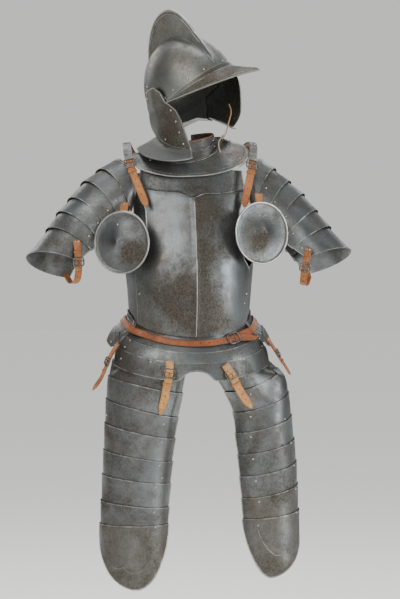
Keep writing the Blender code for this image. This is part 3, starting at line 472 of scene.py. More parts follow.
# Round patches on the discs, as seen from the front: brown patina below the points, the one lower right on
# the right disc partly painted shade; the lighter ones, upper left on the right disc and lower right on the
# left, are painted highlights.
DISC_STAINS_AND_PAINTED_LIGHT = (
    Patch(-146, -212, 24, 0.30), Patch(-190, -170, 40, -0.10), Patch(154, -186, 24, 0.28),
    Patch(185, -200, 30, -0.16), Patch(170, -140, 26, 0.05),
)
DISC_RIVETS = {
    RIGHT: ((117.6, 224.4), (124.6, 224.4)),
    LEFT: ((259.2, 215.3), (265.2, 215.3)),
}
SKULL_RIVETS = ((222.5, 61), (204, 69.4), (187.4, 79), (173, 90), (147.2, 87), (146.6, 93), (146.2, 99))
COMB_FLANKS = ((2.6, 0.06), (2.1, 0.2), (1.75, 0.4), (1.5, 0.62), (1.35, 0.82), (1.25, 0.94), (0.8, 1.0))
CHEEK_RIVETS = {
    RIGHT: (
        (170.7, 110.4), (175.8, 121.6), (179.4, 132.5), (183.4, 144), (165.5, 139.6), (153.6, 134.4),
        (150.9, 128),
    ),
    LEFT: ((239, 103), (235, 118)),
}
CHEEK_CREASE = ((154.7, 134.4), (160, 139), (165.5, 143), (171, 146), (176, 147.4), (185, 148.5))
CHEEK_STAIN = 0.15
PANEL_REAR = 0.62
PANEL_FADE = 0.12
FLANGE_FROM = 0.79
FLANGE_FADE = 0.04
FLANGE_STAIN = -0.26
PEAK_STAIN = 0.11

# Kinds of strap: places along it are shares of its length, and the rest is in millimetres
STRAP_WALL = 2.4
BUCKLE_WIRE = 3.6
BUCKLE_LIFT = 1.44
BUCKLE_BAR = 1.3
BUCKLE_TONGUE = 1.4
BUCKLE_CORNER = 0.22
TIP_LENGTH = 0.9
TIP_WIDTH = 0.14
EDGE_DROP = 0.7
ACROSS = (-1.0, -0.9, -0.6, -0.3, 0.0, 0.3, 0.6, 0.9, 1.0)
KEEPER_PROFILE = ((-1.14, -1.6), (-1.12, 0.6), (-0.9, 1.8), (0, 2.0), (0.9, 1.8), (1.12, 0.6), (1.14, -1.6))
BELT_KEEPER_PROFILE = (
    (-1.22, -2.0), (-1.18, 0.8), (-0.9, 2.0), (0, 2.1), (0.9, 2.0), (1.18, 0.8), (1.22, -2.0),
)
COVER_PROFILE = ((-1.12, 0.2), (-1.0, 1.6), (-0.5, 1.6), (0, 1.6), (0.5, 1.6), (1.0, 1.6), (1.12, 0.2))
COVER = (0.27, 0.50)
COVER_WALL = 1.6
Lining = namedtuple("Lining", "width end wall")
Buckle = namedtuple("Buckle", "at width height")
Keeper = namedtuple("Keeper", "at band")
StrapKind = namedtuple("StrapKind", "width lining buckle keeper holes rivets rivet_lift rivet")
STRAP_KINDS = {
    "shoulder": StrapKind(
        18, None, Buckle(0.56, 26, 22), Keeper(0.66, 6), (0.74, 0.81, 0.88),
        ((0.03, -4), (0.03, 4), (0.09, 0)), 0.0, Dome(2.5, 1.7),
    ),
    "thigh": StrapKind(
        19, Lining(18, 0.30, 1.6), Buckle(0.32, 26, 22), Keeper(0.52, 6), (0.64, 0.74, 0.84),
        ((0.05, -4.5), (0.05, 4.5), (0.17, 0)), 1.6, Dome(2.5, 1.7),
    ),
    "hip": StrapKind(
        15, Lining(14, 0.36, 1.5), Buckle(0.4, 21, 18), Keeper(0.6, 5), (0.7, 0.8),
        ((0.07, -3.5), (0.07, 3.5)), 1.5, Dome(2.2, 1.7),
    ),
    "arm": StrapKind(
        17, None, Buckle(0.3, 24, 20), Keeper(0.16, 5), (0.44, 0.52, 0.6),
        ((0.04, -3.5), (0.04, 3.5)), 0.0, Dome(2.3, 1.7),
    ),
    "besagew": StrapKind(22, None, None, None, (), ((0.12, 0), (0.8, -5), (0.8, 5)), 0.0, Dome(2.5, 1.7)),
}
BELT_STEPS = 300
BELT_BUCKLE = (25, 36)
BELT_HOLES = (4, 12, 20)
BELT_KEEPER_AT = 11
BELT_CORE = (0, 0, -380)

# Material slots in a piece's mesh
PLATE_SLOT = 0
RIVET_SLOT = 1
BINDING_SLOT = 2
LEATHER_SLOT = 0
IRON_SLOT = 1
HOLE_SLOT = 2
STRAP_RIVET_SLOT = 3
COVER_SLOT = 4


def lerp(a, b, share):
    return a + (b - a) * share


def unit(value):
    """Value held between 0 and 1."""
    return min(max(value, 0.0), 1.0)


def spread(start, end, count):
    """count + 1 even values from start to end."""
    return [lerp(start, end, i / count) for i in range(count + 1)]


def ramp(value, start, end):
    """0 at start and 1 at end, with soft ends."""
    share = unit((value - start) / (end - start))
    return share * share * (3 - 2 * share)


def degrees_of(angle):
    return angle * 180 / pi


def from_front(angle):
    """Degrees between an angle and 0, whichever way round."""
    return abs((angle + 180) % 360 - 180)


def row_below(rows, level):
    """Index of the table row at or below a fractional one, and the share of the way to the next."""
    index = min(max(int(floor(level)), 0), len(rows) - 2)
    return index, level - index


def blend(rows, level):
    """Table row at a fractional index, on a smooth curve through the rows."""
    index, t = row_below(rows, level)
    before = rows[max(index - 1, 0)]
    after = rows[min(index + 2, len(rows) - 1)]
    values = []
    for a, b, c, d in zip(before, rows[index], rows[index + 1], after):
        bend = 2 * a - 5 * b + 4 * c - d + t * (3 * (b - c) + d - a)
        values.append(b + 0.5 * t * (c - a + t * bend))
    return type(before)(*values)


def straight(rows, level):
    """Table row at a fractional index, in straight steps."""
    index, t = row_below(rows, level)
    return type(rows[0])(*(lerp(a, b, t) for a, b in zip(rows[index], rows[index + 1])))


def edge_angle(rows, level):
    """Half angle at a level, in straight steps."""
    for low, high in zip(rows, rows[1:]):
        if level <= high.level:
            share = (level - low.level) / (high.level - low.level)
            return lerp(low.half_angle, high.half_angle, max(share, 0.0))
    return rows[-1].half_angle


# Camera, floor and lights
def add_object(name, data):
    """New object in the scene."""
    thing = bpy.data.objects.new(name, data)
    bpy.context.scene.collection.objects.link(thing)
    return thing


def facing(direction):
    """Rotation that points a camera or a lamp along a direction."""
    return direction.to_track_quat("-Z", "Y").to_euler()


def add_camera():
    camera = bpy.data.cameras.new("camera")
    camera.lens = VIEW_LENS
    camera.sensor_width = VIEW_SENSOR
    camera.clip_start = VIEW_CLIP
    holder = add_object("camera", camera)
    holder.location = VIEW_FROM
    holder.rotation_euler = facing(-VIEW_BACK)
    bpy.context.scene.camera = holder


def add_floor():
    mesh = bpy.data.meshes.new("floor")
    surface = bmesh.new()
    bmesh.ops.create_circle(surface, cap_ends=True, segments=FLOOR_SEGMENTS, radius=FLOOR_RADIUS)
    surface.to_mesh(mesh)
    surface.free()
    ground = add_object("floor", mesh)
    ground.location = (0, 0, FLOOR_LEVEL)
    pale = bpy.data.materials.new("pale_floor")
    pale.use_nodes = True
    shader = pale.node_tree.nodes["Principled BSDF"]
    shader.inputs["Base Color"].default_value = FLOOR_COLOUR
    shader.inputs["Roughness"].default_value = FLOOR_ROUGHNESS
    mesh.materials.append(pale)


def add_lights():
    for light in LIGHTS:
        lamp = bpy.data.lights.new(light.name, "AREA")
        lamp.shape = "RECTANGLE"
        lamp.size = light.wide
        lamp.size_y = light.high
        lamp.energy = light.power
        lamp.color = light.colour
        holder = add_object(light.name, lamp)
        holder.location = light.place
        holder.rotation_euler = facing(LIGHTS_AIM - Vector(light.place))


def either(tree, answer, no, yes):
    """Shader picked by the kind of ray."""
    choose = tree.nodes.new("ShaderNodeMixShader")
    for socket, source in zip(choose.inputs, (answer, no, yes)):
        tree.links.new(source, socket)
    return choose.outputs[0]


def add_surroundings():
    """Pale behind the armour and as soft light on it, and darker toward the ground in its reflections."""
    world = bpy.data.worlds.new("surroundings")
    bpy.context.scene.world = world
    world.use_nodes = True
    tree = world.node_tree
    seen = tree.nodes["Background"]
    soft = tree.nodes.new("ShaderNodeBackground")
    for background, strength in ((seen, SKY_SEEN), (soft, SKY_SOFT)):
        background.inputs["Color"].default_value = SKY_COLOUR
        background.inputs["Strength"].default_value = strength
    around = tree.nodes.new("ShaderNodeBackground")
    coordinate = tree.nodes.new("ShaderNodeTexCoord")
    parts = tree.nodes.new("ShaderNodeSeparateXYZ")
    remap = tree.nodes.new("ShaderNodeMapRange")
    remap.inputs["From Min"].default_value = -1.0
    shade = tree.nodes.new("ShaderNodeValToRGB")
    for element, (position, colour) in zip(shade.color_ramp.elements, SKY_RAMP):
        element.position = position
        element.color = colour
    tree.links.new(coordinate.outputs["Generated"], parts.inputs[0])
    tree.links.new(parts.outputs["Z"], remap.inputs["Value"])
    tree.links.new(remap.outputs["Result"], shade.inputs["Fac"])
    tree.links.new(shade.outputs["Color"], around.inputs["Color"])
    path = tree.nodes.new("ShaderNodeLightPath").outputs
    lit = either(tree, path["Is Diffuse Ray"], around.outputs[0], soft.outputs[0])
    sky = either(tree, path["Is Camera Ray"], lit, seen.outputs[0])
    tree.links.new(sky, tree.nodes["World Output"].inputs["Surface"])


add_camera()
add_floor()
add_lights()
add_surroundings()


# Materials
class Shade:
    """Small builder of one material's nodes."""

    def __init__(self, name):
        self.material = bpy.data.materials.new(name)
        self.material.use_nodes = True
        self.tree = self.material.node_tree
        self.shader = self.tree.nodes["Principled BSDF"]
        self.place = self.tree.nodes.new("ShaderNodeTexCoord").outputs["Object"]

    def feed(self, socket, value):
        """Links a socket to another one, or sets its value."""
        if isinstance(value, bpy.types.NodeSocket):
            self.tree.links.new(value, socket)
        elif socket.type == "RGBA":
            socket.default_value = (*value, 1.0)
        else:
            socket.default_value = value

    def node(self, kind, inputs):
        """New node of a kind with its inputs fed."""
        node = self.tree.nodes.new("ShaderNode" + kind)
        for key, value in inputs.items():
            self.feed(node.inputs[key], value)
        return node

    def stretched(self, scale, turn=(0, 0, 0)):
        """Coordinates stretched along the axes."""
        inputs = {"Scale": scale, "Rotation": turn, "Vector": self.place}
        return self.node("Mapping", inputs).outputs["Vector"]

    def noise(self, scale, detail=4.0, rough=0.55, twist=0.0, place=None):
        inputs = {"Scale": scale, "Detail": detail, "Roughness": rough, "Distortion": twist}
        inputs["Vector"] = place or self.place
        return self.node("TexNoise", inputs).outputs["Fac"]

    def cells(self, scale):
        return self.node("TexVoronoi", {"Scale": scale, "Vector": self.place}).outputs["Distance"]

    def attribute(self, name):
        node = self.tree.nodes.new("ShaderNodeAttribute")
        node.attribute_name = name
        return node.outputs["Fac"]

    def remap(self, value, low, high, to_low=0.0, to_high=1.0):
        inputs = {"From Min": low, "From Max": high, "To Min": to_low, "To Max": to_high, "Value": value}
        return self.node("MapRange", inputs).outputs["Result"]

    def math(self, kind, a, b):
        node = self.node("Math", {0: a, 1: b})
        node.operation = kind
        return node.outputs[0]

    def plus(self, a, b):
        return self.math("ADD", a, b)

    def times(self, a, b):
        return self.math("MULTIPLY", a, b)

    def mix(self, share, a, b):
        """Colour between two others."""
        node = self.tree.nodes.new("ShaderNodeMix")
        node.data_type = "RGBA"
        node.clamp_factor = True
        for number, value in ((0, share), (6, a), (7, b)):
            self.feed(node.inputs[number], value)
        return node.outputs[2]

    def paint(self, under, over, mask, strength):
        """Colour laid over another where a mask shows."""
        return self.mix(self.times(mask, strength), under, over)

    def bump(self, height, strength, distance, before=None):
        inputs = {"Strength": strength, "Distance": distance, "Height": height}
        if before is not None:
            inputs["Normal"] = before
        return self.node("Bump", inputs).outputs["Normal"]

    def finished(self, inputs):
        """The material, with its own inputs fed."""
        for key, value in inputs.items():
            self.feed(self.shader.inputs[key], value)
        return self.material


def darker(colour, share):
    return tuple(v * share for v in colour)


# The pale colour of a metal serves for scratches and rubbed edges, and as a painted highlight along borders
# and rolled edges.
Metal = namedtuple("Metal", "clean dark brown worn patina_from patina_to rough")
BROAD_SHARE = 0.62
EDGE_WIDTH = 1.6


def steel(name, metal):
    """Aged steel: clear metal under a broken dark patina, pitted, scratched and bright at the edges, where
    the brightening is partly rubbed wear and partly a painted highlight along borders, rolled edges and
    tubes.
    """
    shade = Shade(name)
    broad = shade.noise(scale=6.5, detail=5.0, rough=0.6, twist=0.6)
    middle = shade.noise(scale=26.0, detail=6.0, rough=0.62, twist=0.3)
    blotch = shade.plus(shade.times(broad, BROAD_SHARE), shade.times(middle, 1 - BROAD_SHARE))
    # The stain value adds patina, and on the breastplate and discs also painted highlights, reflection and
    # shade.
    blotch = shade.plus(blotch, shade.attribute("stain_and_painted_light"))
    patina = shade.remap(blotch, metal.patina_from, metal.patina_to)
    pits = shade.remap(shade.noise(scale=210.0, rough=0.6), 0.40, 0.58, to_low=1.0, to_high=0.0)
    pits = shade.times(pits, shade.remap(patina, 0.1, 0.9, to_low=0.25))
    rust = shade.noise(scale=11.0, detail=7.0, rough=0.65, place=shade.stretched((1, 1, 0.8)))
    brushed = shade.stretched((30, 30, 3), turn=(0.2, 0.35, 0.1))
    scratches = shade.noise(scale=9.0, detail=5.0, rough=0.7, place=brushed)
    ragged = shade.remap(shade.noise(scale=70.0, detail=3.0), 0.3, 0.75, to_low=0.4, to_high=1.6)
    # Edge mask near borders and near tubes with a small rim: rubbed wear and a painted highlight.
    edge = shade.math("DIVIDE", shade.attribute("rim"), shade.times(ragged, EDGE_WIDTH))
    edge = shade.remap(edge, 0.2, 1.2, to_low=1.0, to_high=0.0)
    colour = shade.mix(patina, metal.clean, metal.dark)
    colour = shade.paint(colour, metal.brown, shade.remap(rust, 0.50, 0.66), strength=0.4)
    colour = shade.paint(colour, darker(metal.dark, 0.35), pits, strength=0.5)
    colour = shade.paint(colour, metal.worn, shade.remap(scratches, 0.62, 0.68), strength=0.22)
    colour = shade.paint(colour, metal.worn, edge, strength=0.7)
    bright = shade.plus(shade.attribute("tone"), 1.0)
    toned = shade.node("HueSaturation", {"Color": colour, "Value": bright})
    roughness = shade.plus(
        shade.remap(patina, 0.0, 1.0, to_low=metal.rough, to_high=metal.rough + 0.16),
        shade.remap(pits, 0, 1, to_low=0, to_high=0.14),
    )
    roughness = shade.plus(roughness, shade.remap(middle, 0.3, 0.7, to_low=-0.05, to_high=0.05))
    roughness = shade.math("SUBTRACT", roughness, shade.times(edge, 0.1))
    relief = shade.bump(shade.noise(scale=17.0, detail=1.0, rough=0.4), strength=0.30, distance=0.004)
    relief = shade.bump(shade.cells(58.0), strength=0.10, distance=0.0012, before=relief)
    grain = shade.noise(scale=150.0, rough=0.65)
    relief = shade.bump(grain, strength=0.16, distance=0.0006, before=relief)
    relief = shade.bump(pits, strength=0.20, distance=-0.0004, before=relief)
    return shade.finished({
        "Base Color": toned.outputs["Color"],
        "Roughness": roughness,
        "Metallic": shade.remap(patina, 0.0, 1.0, to_low=1.0, to_high=0.78),
        "Normal": relief,
    })


def iron(name, colour, high, rough):
    """Small forged parts: rivets and buckles."""
    shade = Shade(name)
    mottle = shade.remap(shade.noise(scale=300.0), 0.35, 0.7)
    wear = shade.noise(scale=180.0, detail=3.0)
    return shade.finished({
        "Base Color": shade.mix(mottle, colour, high),
        "Roughness": shade.remap(wear, 0.3, 0.7, to_low=rough - 0.08, to_high=rough + 0.1),
        "Metallic": 1.0,
        "Normal": shade.bump(shade.noise(scale=420.0, detail=3.0), strength=0.25, distance=0.0004),
    })


def leather(name, light, deep, rough):
    """Vegetable-tanned leather with grain, darker edges and handling marks."""
    shade = Shade(name)
    cloud = shade.noise(scale=38.0, detail=6.0, rough=0.6, twist=0.8)
    spots = shade.remap(shade.noise(scale=260.0, rough=0.7), 0.50, 0.66)
    rim = shade.attribute("rim")
    edge = shade.remap(rim, 0.3, 2.0, to_low=1.0, to_high=0.0)
    crease = shade.math("ABSOLUTE", shade.math("SUBTRACT", rim, 2.9), 0.0)
    crease = shade.remap(crease, 0.0, 0.5, to_low=1.0, to_high=0.0)
    colour = shade.mix(shade.remap(cloud, 0.34, 0.68), light, deep)
    colour = shade.paint(colour, darker(deep, 0.45), spots, strength=0.45)
    colour = shade.paint(colour, darker(deep, 0.4), edge, strength=0.6)
    colour = shade.paint(colour, darker(deep, 0.5), crease, strength=0.5)
    relief = shade.bump(shade.cells(620.0), strength=0.30, distance=0.0004)
    handled = shade.noise(scale=120.0, detail=5.0, rough=0.65)
    relief = shade.bump(handled, strength=0.25, distance=0.0006, before=relief)
    relief = shade.bump(crease, strength=0.6, distance=-0.0006, before=relief)
    return shade.finished({
        "Base Color": colour,
        "Roughness": shade.remap(cloud, 0.3, 0.7, to_low=rough - 0.08, to_high=rough + 0.1),
        "Specular IOR Level": 0.4,
        "Normal": relief,
    })


# Near-black colour for the strap holes: painted shade for the inside of a punched hole.
def hole_shade():
    shade = Shade("strap_hole_shade")
    mottle = shade.remap(shade.noise(scale=300.0), 0.3, 0.7)
    colour = shade.mix(mottle, (0.012, 0.008, 0.006), (0.03, 0.02, 0.013))
    return shade.finished({"Base Color": colour, "Roughness": 0.9})


PLATE_STEEL = steel("plate_steel", Metal(
    clean=(0.155, 0.170, 0.172), dark=(0.068, 0.061, 0.050), brown=(0.095, 0.060, 0.036),
    worn=(0.36, 0.355, 0.33), patina_from=0.40, patina_to=0.66, rough=0.36,
))
BROWN_STEEL = steel("brown_steel", Metal(
    clean=(0.150, 0.152, 0.143), dark=(0.068, 0.058, 0.045), brown=(0.100, 0.066, 0.040),
    worn=(0.36, 0.35, 0.32), patina_from=0.38, patina_to=0.66, rough=0.38,
))
HELMET_STEEL = steel("helmet_steel", Metal(
    clean=(0.185, 0.193, 0.180), dark=(0.082, 0.071, 0.055), brown=(0.11, 0.080, 0.056),
    worn=(0.38, 0.375, 0.34), patina_from=0.46, patina_to=0.68, rough=0.40,
))
RIVET_STEEL = iron("rivet_steel", (0.22, 0.22, 0.20), (0.50, 0.50, 0.46), rough=0.28)
BUCKLE_IRON = iron("buckle_iron", (0.085, 0.08, 0.075), (0.22, 0.215, 0.20), rough=0.42)
TAN_LEATHER = leather("tan_leather", (0.37, 0.135, 0.036), (0.18, 0.062, 0.018), rough=0.5)
PALE_LEATHER = leather("pale_leather", (0.50, 0.25, 0.075), (0.31, 0.13, 0.038), rough=0.52)
BELT_LEATHER = leather("belt_leather", (0.26, 0.078, 0.022), (0.13, 0.036, 0.011), rough=0.42)
THONG_LEATHER = leather("thong_leather", (0.60, 0.42, 0.25), (0.40, 0.26, 0.14), rough=0.75)
STRAP_METALS = (BUCKLE_IRON, hole_shade(), RIVET_STEEL, PLATE_STEEL)


# Meshes
class Build:
    """Gathers the points, faces, slots and painted values of one piece, in millimetres."""

    def __init__(self):
        self.points = []
        self.faces = []
        self.slots = []
        self.rim = []
        self.stain_and_painted_light = []

    def add(self, points, faces, slot=0, rim=RIM_FAR, stain_and_painted_light=0.0):
        first = len(self.points)
        count = len(points)
        self.points.extend(tuple(point) for point in points)
        self.faces.extend(tuple(first + i for i in face) for face in faces)
        self.slots.extend([slot] * len(faces))
        self.rim.extend([rim] * count if isinstance(rim, (int, float)) else rim)
        self.stain_and_painted_light.extend([stain_and_painted_light] * count if isinstance(stain_and_painted_light, (int, float)) else stain_and_painted_light)

    def mesh(self, name, materials):
        """Smooth mesh of the points and faces, in metres."""
        mesh = bpy.data.meshes.new(name)
        mesh.from_pydata([tuple(v * MM for v in point) for point in self.points], [], self.faces)
        for material in materials:
            mesh.materials.append(material)
        mesh.shade_smooth()
        return mesh


def ring_faces(count, sides, closed=False):
    """Faces between rings of points that follow one another, round to the first if closed."""
    faces = []
    for i in range(count if closed else count - 1):
        following = (i + 1) % count
        for k in range(sides):
            n = (k + 1) % sides
            faces.append((i * sides + k, i * sides + n, following * sides + n, following * sides + k))
    return faces


def add_dome(build, at, normal, dome=RIVET, slot=RIVET_SLOT):
    """Domed rivet head seated in a plate."""
    normal = Vector(normal).normalized()
    side = normal.orthogonal().normalized()
    other = normal.cross(side)
    points = []
    for wide, high in DOME_RINGS:
        for k in range(DOME_SIDES):
            turn = 2 * pi * k / DOME_SIDES
            out = side * cos(turn) + other * sin(turn)
            points.append(Vector(at) + out * dome.radius * wide + normal * dome.height * high)
    points.append(Vector(at) + normal * dome.height)
    top = len(points) - 1
    last_ring = top - DOME_SIDES
    faces = ring_faces(len(DOME_RINGS), DOME_SIDES)
    faces.append(tuple(range(DOME_SIDES))[::-1])
    faces.extend((last_ring + k, last_ring + (k + 1) % DOME_SIDES, top) for k in range(DOME_SIDES))
    build.add(points, faces, slot)


# A tube with rim 0 takes the full bright edge colour of steel: rubbed wear and a painted highlight.
def add_tube(build, path, radius, slot=PLATE_SLOT, closed=False, rim=0.0, squash=1.0, ends=1.0):
    """Round bar along a path; squash flattens it, and ends is the share of the radius kept at its ends."""
    path = [Vector(point) for point in path]
    count = len(path)
    tangents = []
    for i in range(count):
        ahead = path[(i + 1) % count] if closed else path[min(i + 1, count - 1)]
        behind = path[i - 1] if closed or i else path[0]
        tangents.append((ahead - behind).normalized())
    side = tangents[0].orthogonal().normalized()
    points = []
    for i, point in enumerate(path):
        side = (side - tangents[i] * side.dot(tangents[i])).normalized()
        other = tangents[i].cross(side)
        kept = radius
        if not closed and ends < 1.0:
            kept = radius * lerp(ends, 1.0, ramp(min(i, count - 1 - i), -0.1, 2.5))
        for k in range(TUBE_SIDES):
            turn = 2 * pi * k / TUBE_SIDES
            points.append(point + side * cos(turn) * kept + other * sin(turn) * kept * squash)
    faces = ring_faces(count, TUBE_SIDES, closed)
    if not closed:
        faces.append(tuple(range(TUBE_SIDES))[::-1])
        faces.append(tuple((count - 1) * TUBE_SIDES + k for k in range(TUBE_SIDES)))
    build.add(points, faces, slot, rim)


def make_piece(name, build, materials, tone=0.0):
    """Mesh object of a build that replaces the frame node of its name and rides on the root body."""
    mesh = build.mesh(name, materials)
    mesh.polygons.foreach_set("material_index", build.slots)
    for key, values in (("rim", build.rim), ("stain_and_painted_light", build.stain_and_painted_light), ("tone", [tone] * len(build.points))):
        layer = mesh.attributes.new(key, "FLOAT", "POINT")
        layer.data.foreach_set("value", [float(v) for v in values])
    mesh.validate()
    mesh.set_sharp_from_angle(angle=radians(SHARP_ANGLE))
    thing = add_object(name, mesh)
    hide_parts(name)
    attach(thing, "root")


def make_plate(name, build, tone, metal=PLATE_STEEL):
    """Riveted plate of the body or the limbs."""
    make_piece(name, build, (metal, RIVET_STEEL), tone)


def make_helmet_plate(name, build, tone=0.0):
    make_piece(name, build, (HELMET_STEEL, RIVET_STEEL), tone)


class Sheet:
    """Grid of points on a plate's outer face with its normals and distances from the borders."""

    def __init__(self, rows, core, wall=LAME_WALL, worn="tbse", uneven=0.35, relief=None, stain_and_painted_light=None):
        grid = np.array([[tuple(point) for point in row] for row in rows], dtype=float)
        normal = np.cross(np.gradient(grid, axis=1), np.gradient(grid, axis=0))
        normal /= np.maximum(np.linalg.norm(normal, axis=2, keepdims=True), 1e-9)
        if (normal * (grid - np.array(core))).sum() < 0:
            normal = -normal
        lift = np.zeros(grid.shape[:2])
        for i, j in np.ndindex(lift.shape):
            spot = Vector(grid[i, j])
            lift[i, j] = uneven * (noise.noise(spot / WAVE) + FINE_WAVE_SHARE * noise.noise(spot / FINE_WAVE))
        if relief is not None:
            lift += relief(grid)
        self.outer = grid + normal * lift[..., None]
        self.inner = self.outer - normal * wall
        self.normal = normal
        self.wall = wall
        self.rim = self.distances(worn)
        self.stain_and_painted_light = np.zeros(grid.shape[:2]) if stain_and_painted_light is None else stain_and_painted_light(self.outer)

    def distances(self, worn):
        """Distance of each point from the nearest of the named borders: steel is painted bright there, for
        rubbed wear and a painted highlight, and leather darker.
        """
        rows, columns = self.outer.shape[:2]
        near = np.full((rows, columns), RIM_FAR)
        steps = np.linalg.norm(np.diff(self.outer, axis=0), axis=2)
        down = np.vstack([np.zeros((1, columns)), np.cumsum(steps, axis=0)])
        steps = np.linalg.norm(np.diff(self.outer, axis=1), axis=2)
        across = np.hstack([np.zeros((rows, 1)), np.cumsum(steps, axis=1)])
        reaches = {"t": down, "b": down[-1] - down, "s": across, "e": across[:, -1:] - across}
        for letter in worn:
            near = np.minimum(near, reaches[letter])
        return near

    def border(self, letter, inset=0.5):
        """Line of points along a border, inside the sheet's thickness."""
        middle = self.outer - self.normal * self.wall * inset
        return {"t": middle[0], "b": middle[-1], "s": middle[:, 0], "e": middle[:, -1]}[letter]

    def into(self, build, slot=PLATE_SLOT):
        """Adds the closed sheet to a build."""
        rows, columns = self.outer.shape[:2]
        count = rows * columns
        points = np.vstack([self.outer.reshape(-1, 3), self.inner.reshape(-1, 3)])
        faces = []
        for i in range(rows - 1):
            for j in range(columns - 1):
                a = i * columns + j
                b = a + columns
                faces.append((a, a + 1, b + 1, b))
                faces.append((count + a, count + b, count + b + 1, count + a + 1))
            a = i * columns
            b = a + columns
            faces.append((a, b, count + b, count + a))
            a += columns - 1
            b += columns - 1
            faces.append((a, count + a, count + b, b))
        for a in range(columns - 1):
            faces.append((a, count + a, count + a + 1, a + 1))
            b = a + (rows - 1) * columns
            faces.append((b, b + 1, count + b + 1, count + b))
        rim = list(self.rim.ravel()) + [RIM_FAR] * count
        stain_and_painted_light = list(self.stain_and_painted_light.ravel()) * 2
        build.add(points, faces, slot, rim, stain_and_painted_light)


def plated(sheet, beads=(), last=None):
    """Build of a sheet with rolled edges along its borders, or along their first points."""
    build = Build()
    sheet.into(build)
    for bead in beads:
        for letter in bead.borders:
            add_tube(build, sheet.border(letter, bead.inset)[:last], bead.radius, rim=bead.rim)
    return build


def seen_ray(x, y):
    """Direction from the camera through a pixel of the photograph's frame."""
    scale = PHOTO_HEIGHT * VIEW_LENS / VIEW_SENSOR
    across = (x - PHOTO_WIDTH / 2) / scale
    up = (PHOTO_HEIGHT / 2 - y) / scale
    return (-VIEW_BACK + VIEW_RIGHT * across + Vector((0, 0, up))).normalized()


class Surface:
    """Finds where a sight line from the camera meets a group of sheets."""

    def __init__(self, sheets):
        points = []
        faces = []
        self.owner = []
        for number, sheet in enumerate(sheets):
            rows, columns = sheet.outer.shape[:2]
            first = len(points)
            points.extend(Vector(point) for point in sheet.outer.reshape(-1, 3))
            for i in range(rows - 1):
                for j in range(columns - 1):
                    a = first + i * columns + j
                    faces.append((a, a + 1, a + columns + 1, a + columns))
                    self.owner.append(number)
        self.tree = BVHTree.FromPolygons(points, faces)

    def at(self, x, y):
        """Place, outward normal and sheet number at a pixel, or None."""
        ray = seen_ray(x, y)
        place, normal, index, _ = self.tree.ray_cast(VIEW_FROM / MM, ray)
        if place is None:
            return None
        if normal.dot(ray) > 0:
            normal = -normal
        return place, normal, self.owner[index]


def rivets(builds, sheets, spots):
    """Rivets at pixels of the photograph's frame, each on the sheet that shows there."""
    surface = Surface(sheets)
    for x, y in spots:
        found = surface.at(x, y)
        if found:
            place, normal, number = found
            add_dome(builds[number], place, normal)


def rivet_row(build, sheet, down, places, dome=RIVET):
    """Rivets at one share of the way down a sheet and several across it."""
    rows, columns = sheet.outer.shape[:2]
    i = round(down * (rows - 1))
    for across in places:
        j = round(across * (columns - 1))
        add_dome(build, sheet.outer[i, j], sheet.normal[i, j], dome)


def lay_line(build, sheet, pixels, radius):
    """Raised line worked in a plate, where a path of pixels shows on it; it takes part of the bright edge
    colour as a painted highlight along its crest.
    """
    surface = Surface([sheet])
    found = [surface.at(x, y) for x, y in pixels]
    table = [Place(*spot[0]) for spot in found if spot]
    if len(table) < 3:
        return
    line = [Vector(blend(table, step)) for step in spread(0, len(table) - 1, 30)]
    add_tube(build, line, radius, rim=LINE_RIM, squash=0.8, ends=0.3)


def tone_of(number):
    return TONES[number % len(TONES)]


def stains_and_painted_light(spots, grid):
    """Weight of a few round patches at every point: stains, and also painted highlights, reflection and
    shade.
    """
    total = np.zeros(grid.shape[:2])
    for spot in spots:
        away = np.hypot(grid[..., 0] - spot.x, grid[..., 2] - spot.z)
        total += spot.weight * np.exp(-(away / spot.radius) ** 2)
    return total


# Body plates
def ring_point(table, level, angle, lift=0.0):
    """Point on a body ring: angle 0 is the front, 90 the wearer's left."""
    row = blend(table, level)
    turn = radians(angle)
    ahead = cos(turn)
    depth = row.front if ahead >= 0 else row.back
    z_end = row.z_front if ahead >= 0 else row.z_back
    x = (row.half_width + lift) * sin(turn)
    y = -(depth + lift) * ahead
    if ahead > 0 and table is TORSO:
        grown = unit((level - RIDGE_START_LEVEL) * 2)
        y -= RIDGE_RISE * grown * max(0.0, 1.0 - abs(x) / RIDGE_HALF_WIDTH)
    return Vector((x, y, lerp(row.z_side, z_end, abs(ahead))))


def breast_relief(grid):
    """Step below the flat upper band, and the crest of the middle ridge."""
    x = grid[..., 0]
    line = np.interp(x, [spot.x for spot in BAND_LINE], [spot.z for spot in BAND_LINE])
    below = line - grid[..., 2]
    step = np.clip(below / BAND_WIDTH + 0.5, 0, 1) * np.clip(1 - below / BAND_FADE, 0, 1)
    crest = np.clip(1 - np.abs(x) / CREST_HALF_WIDTH, 0, 1) * np.clip(below / CREST_START, 0, 1)
    return BAND_STEP * step + CREST_RISE * crest


def breast_stain_and_painted_light(grid):
    """Dark and pitted to the wearer's left of the ridge, clean to the right of it but for the belly, with
    round patches: patina, two painted highlights on the belly and a painted warm reflection on the flank.
    """
    x = grid[..., 0]
    z = grid[..., 2]
    low = np.clip((PATINA_LOW[0] - z) / (PATINA_LOW[0] - PATINA_LOW[1]), 0, 1)
    under_band = np.clip((PATINA_TOP[0] - z) / (PATINA_TOP[0] - PATINA_TOP[1]), 0, 1)
    pitted = PATINA_LEFT * np.exp(-(x / PATINA_REACH) ** 2)
    clean = PATINA_RIGHT * (1 - low)
    return under_band * np.where(x > 0, pitted, clean) + stains_and_painted_light(BREAST_STAINS_AND_PAINTED_LIGHT, grid)


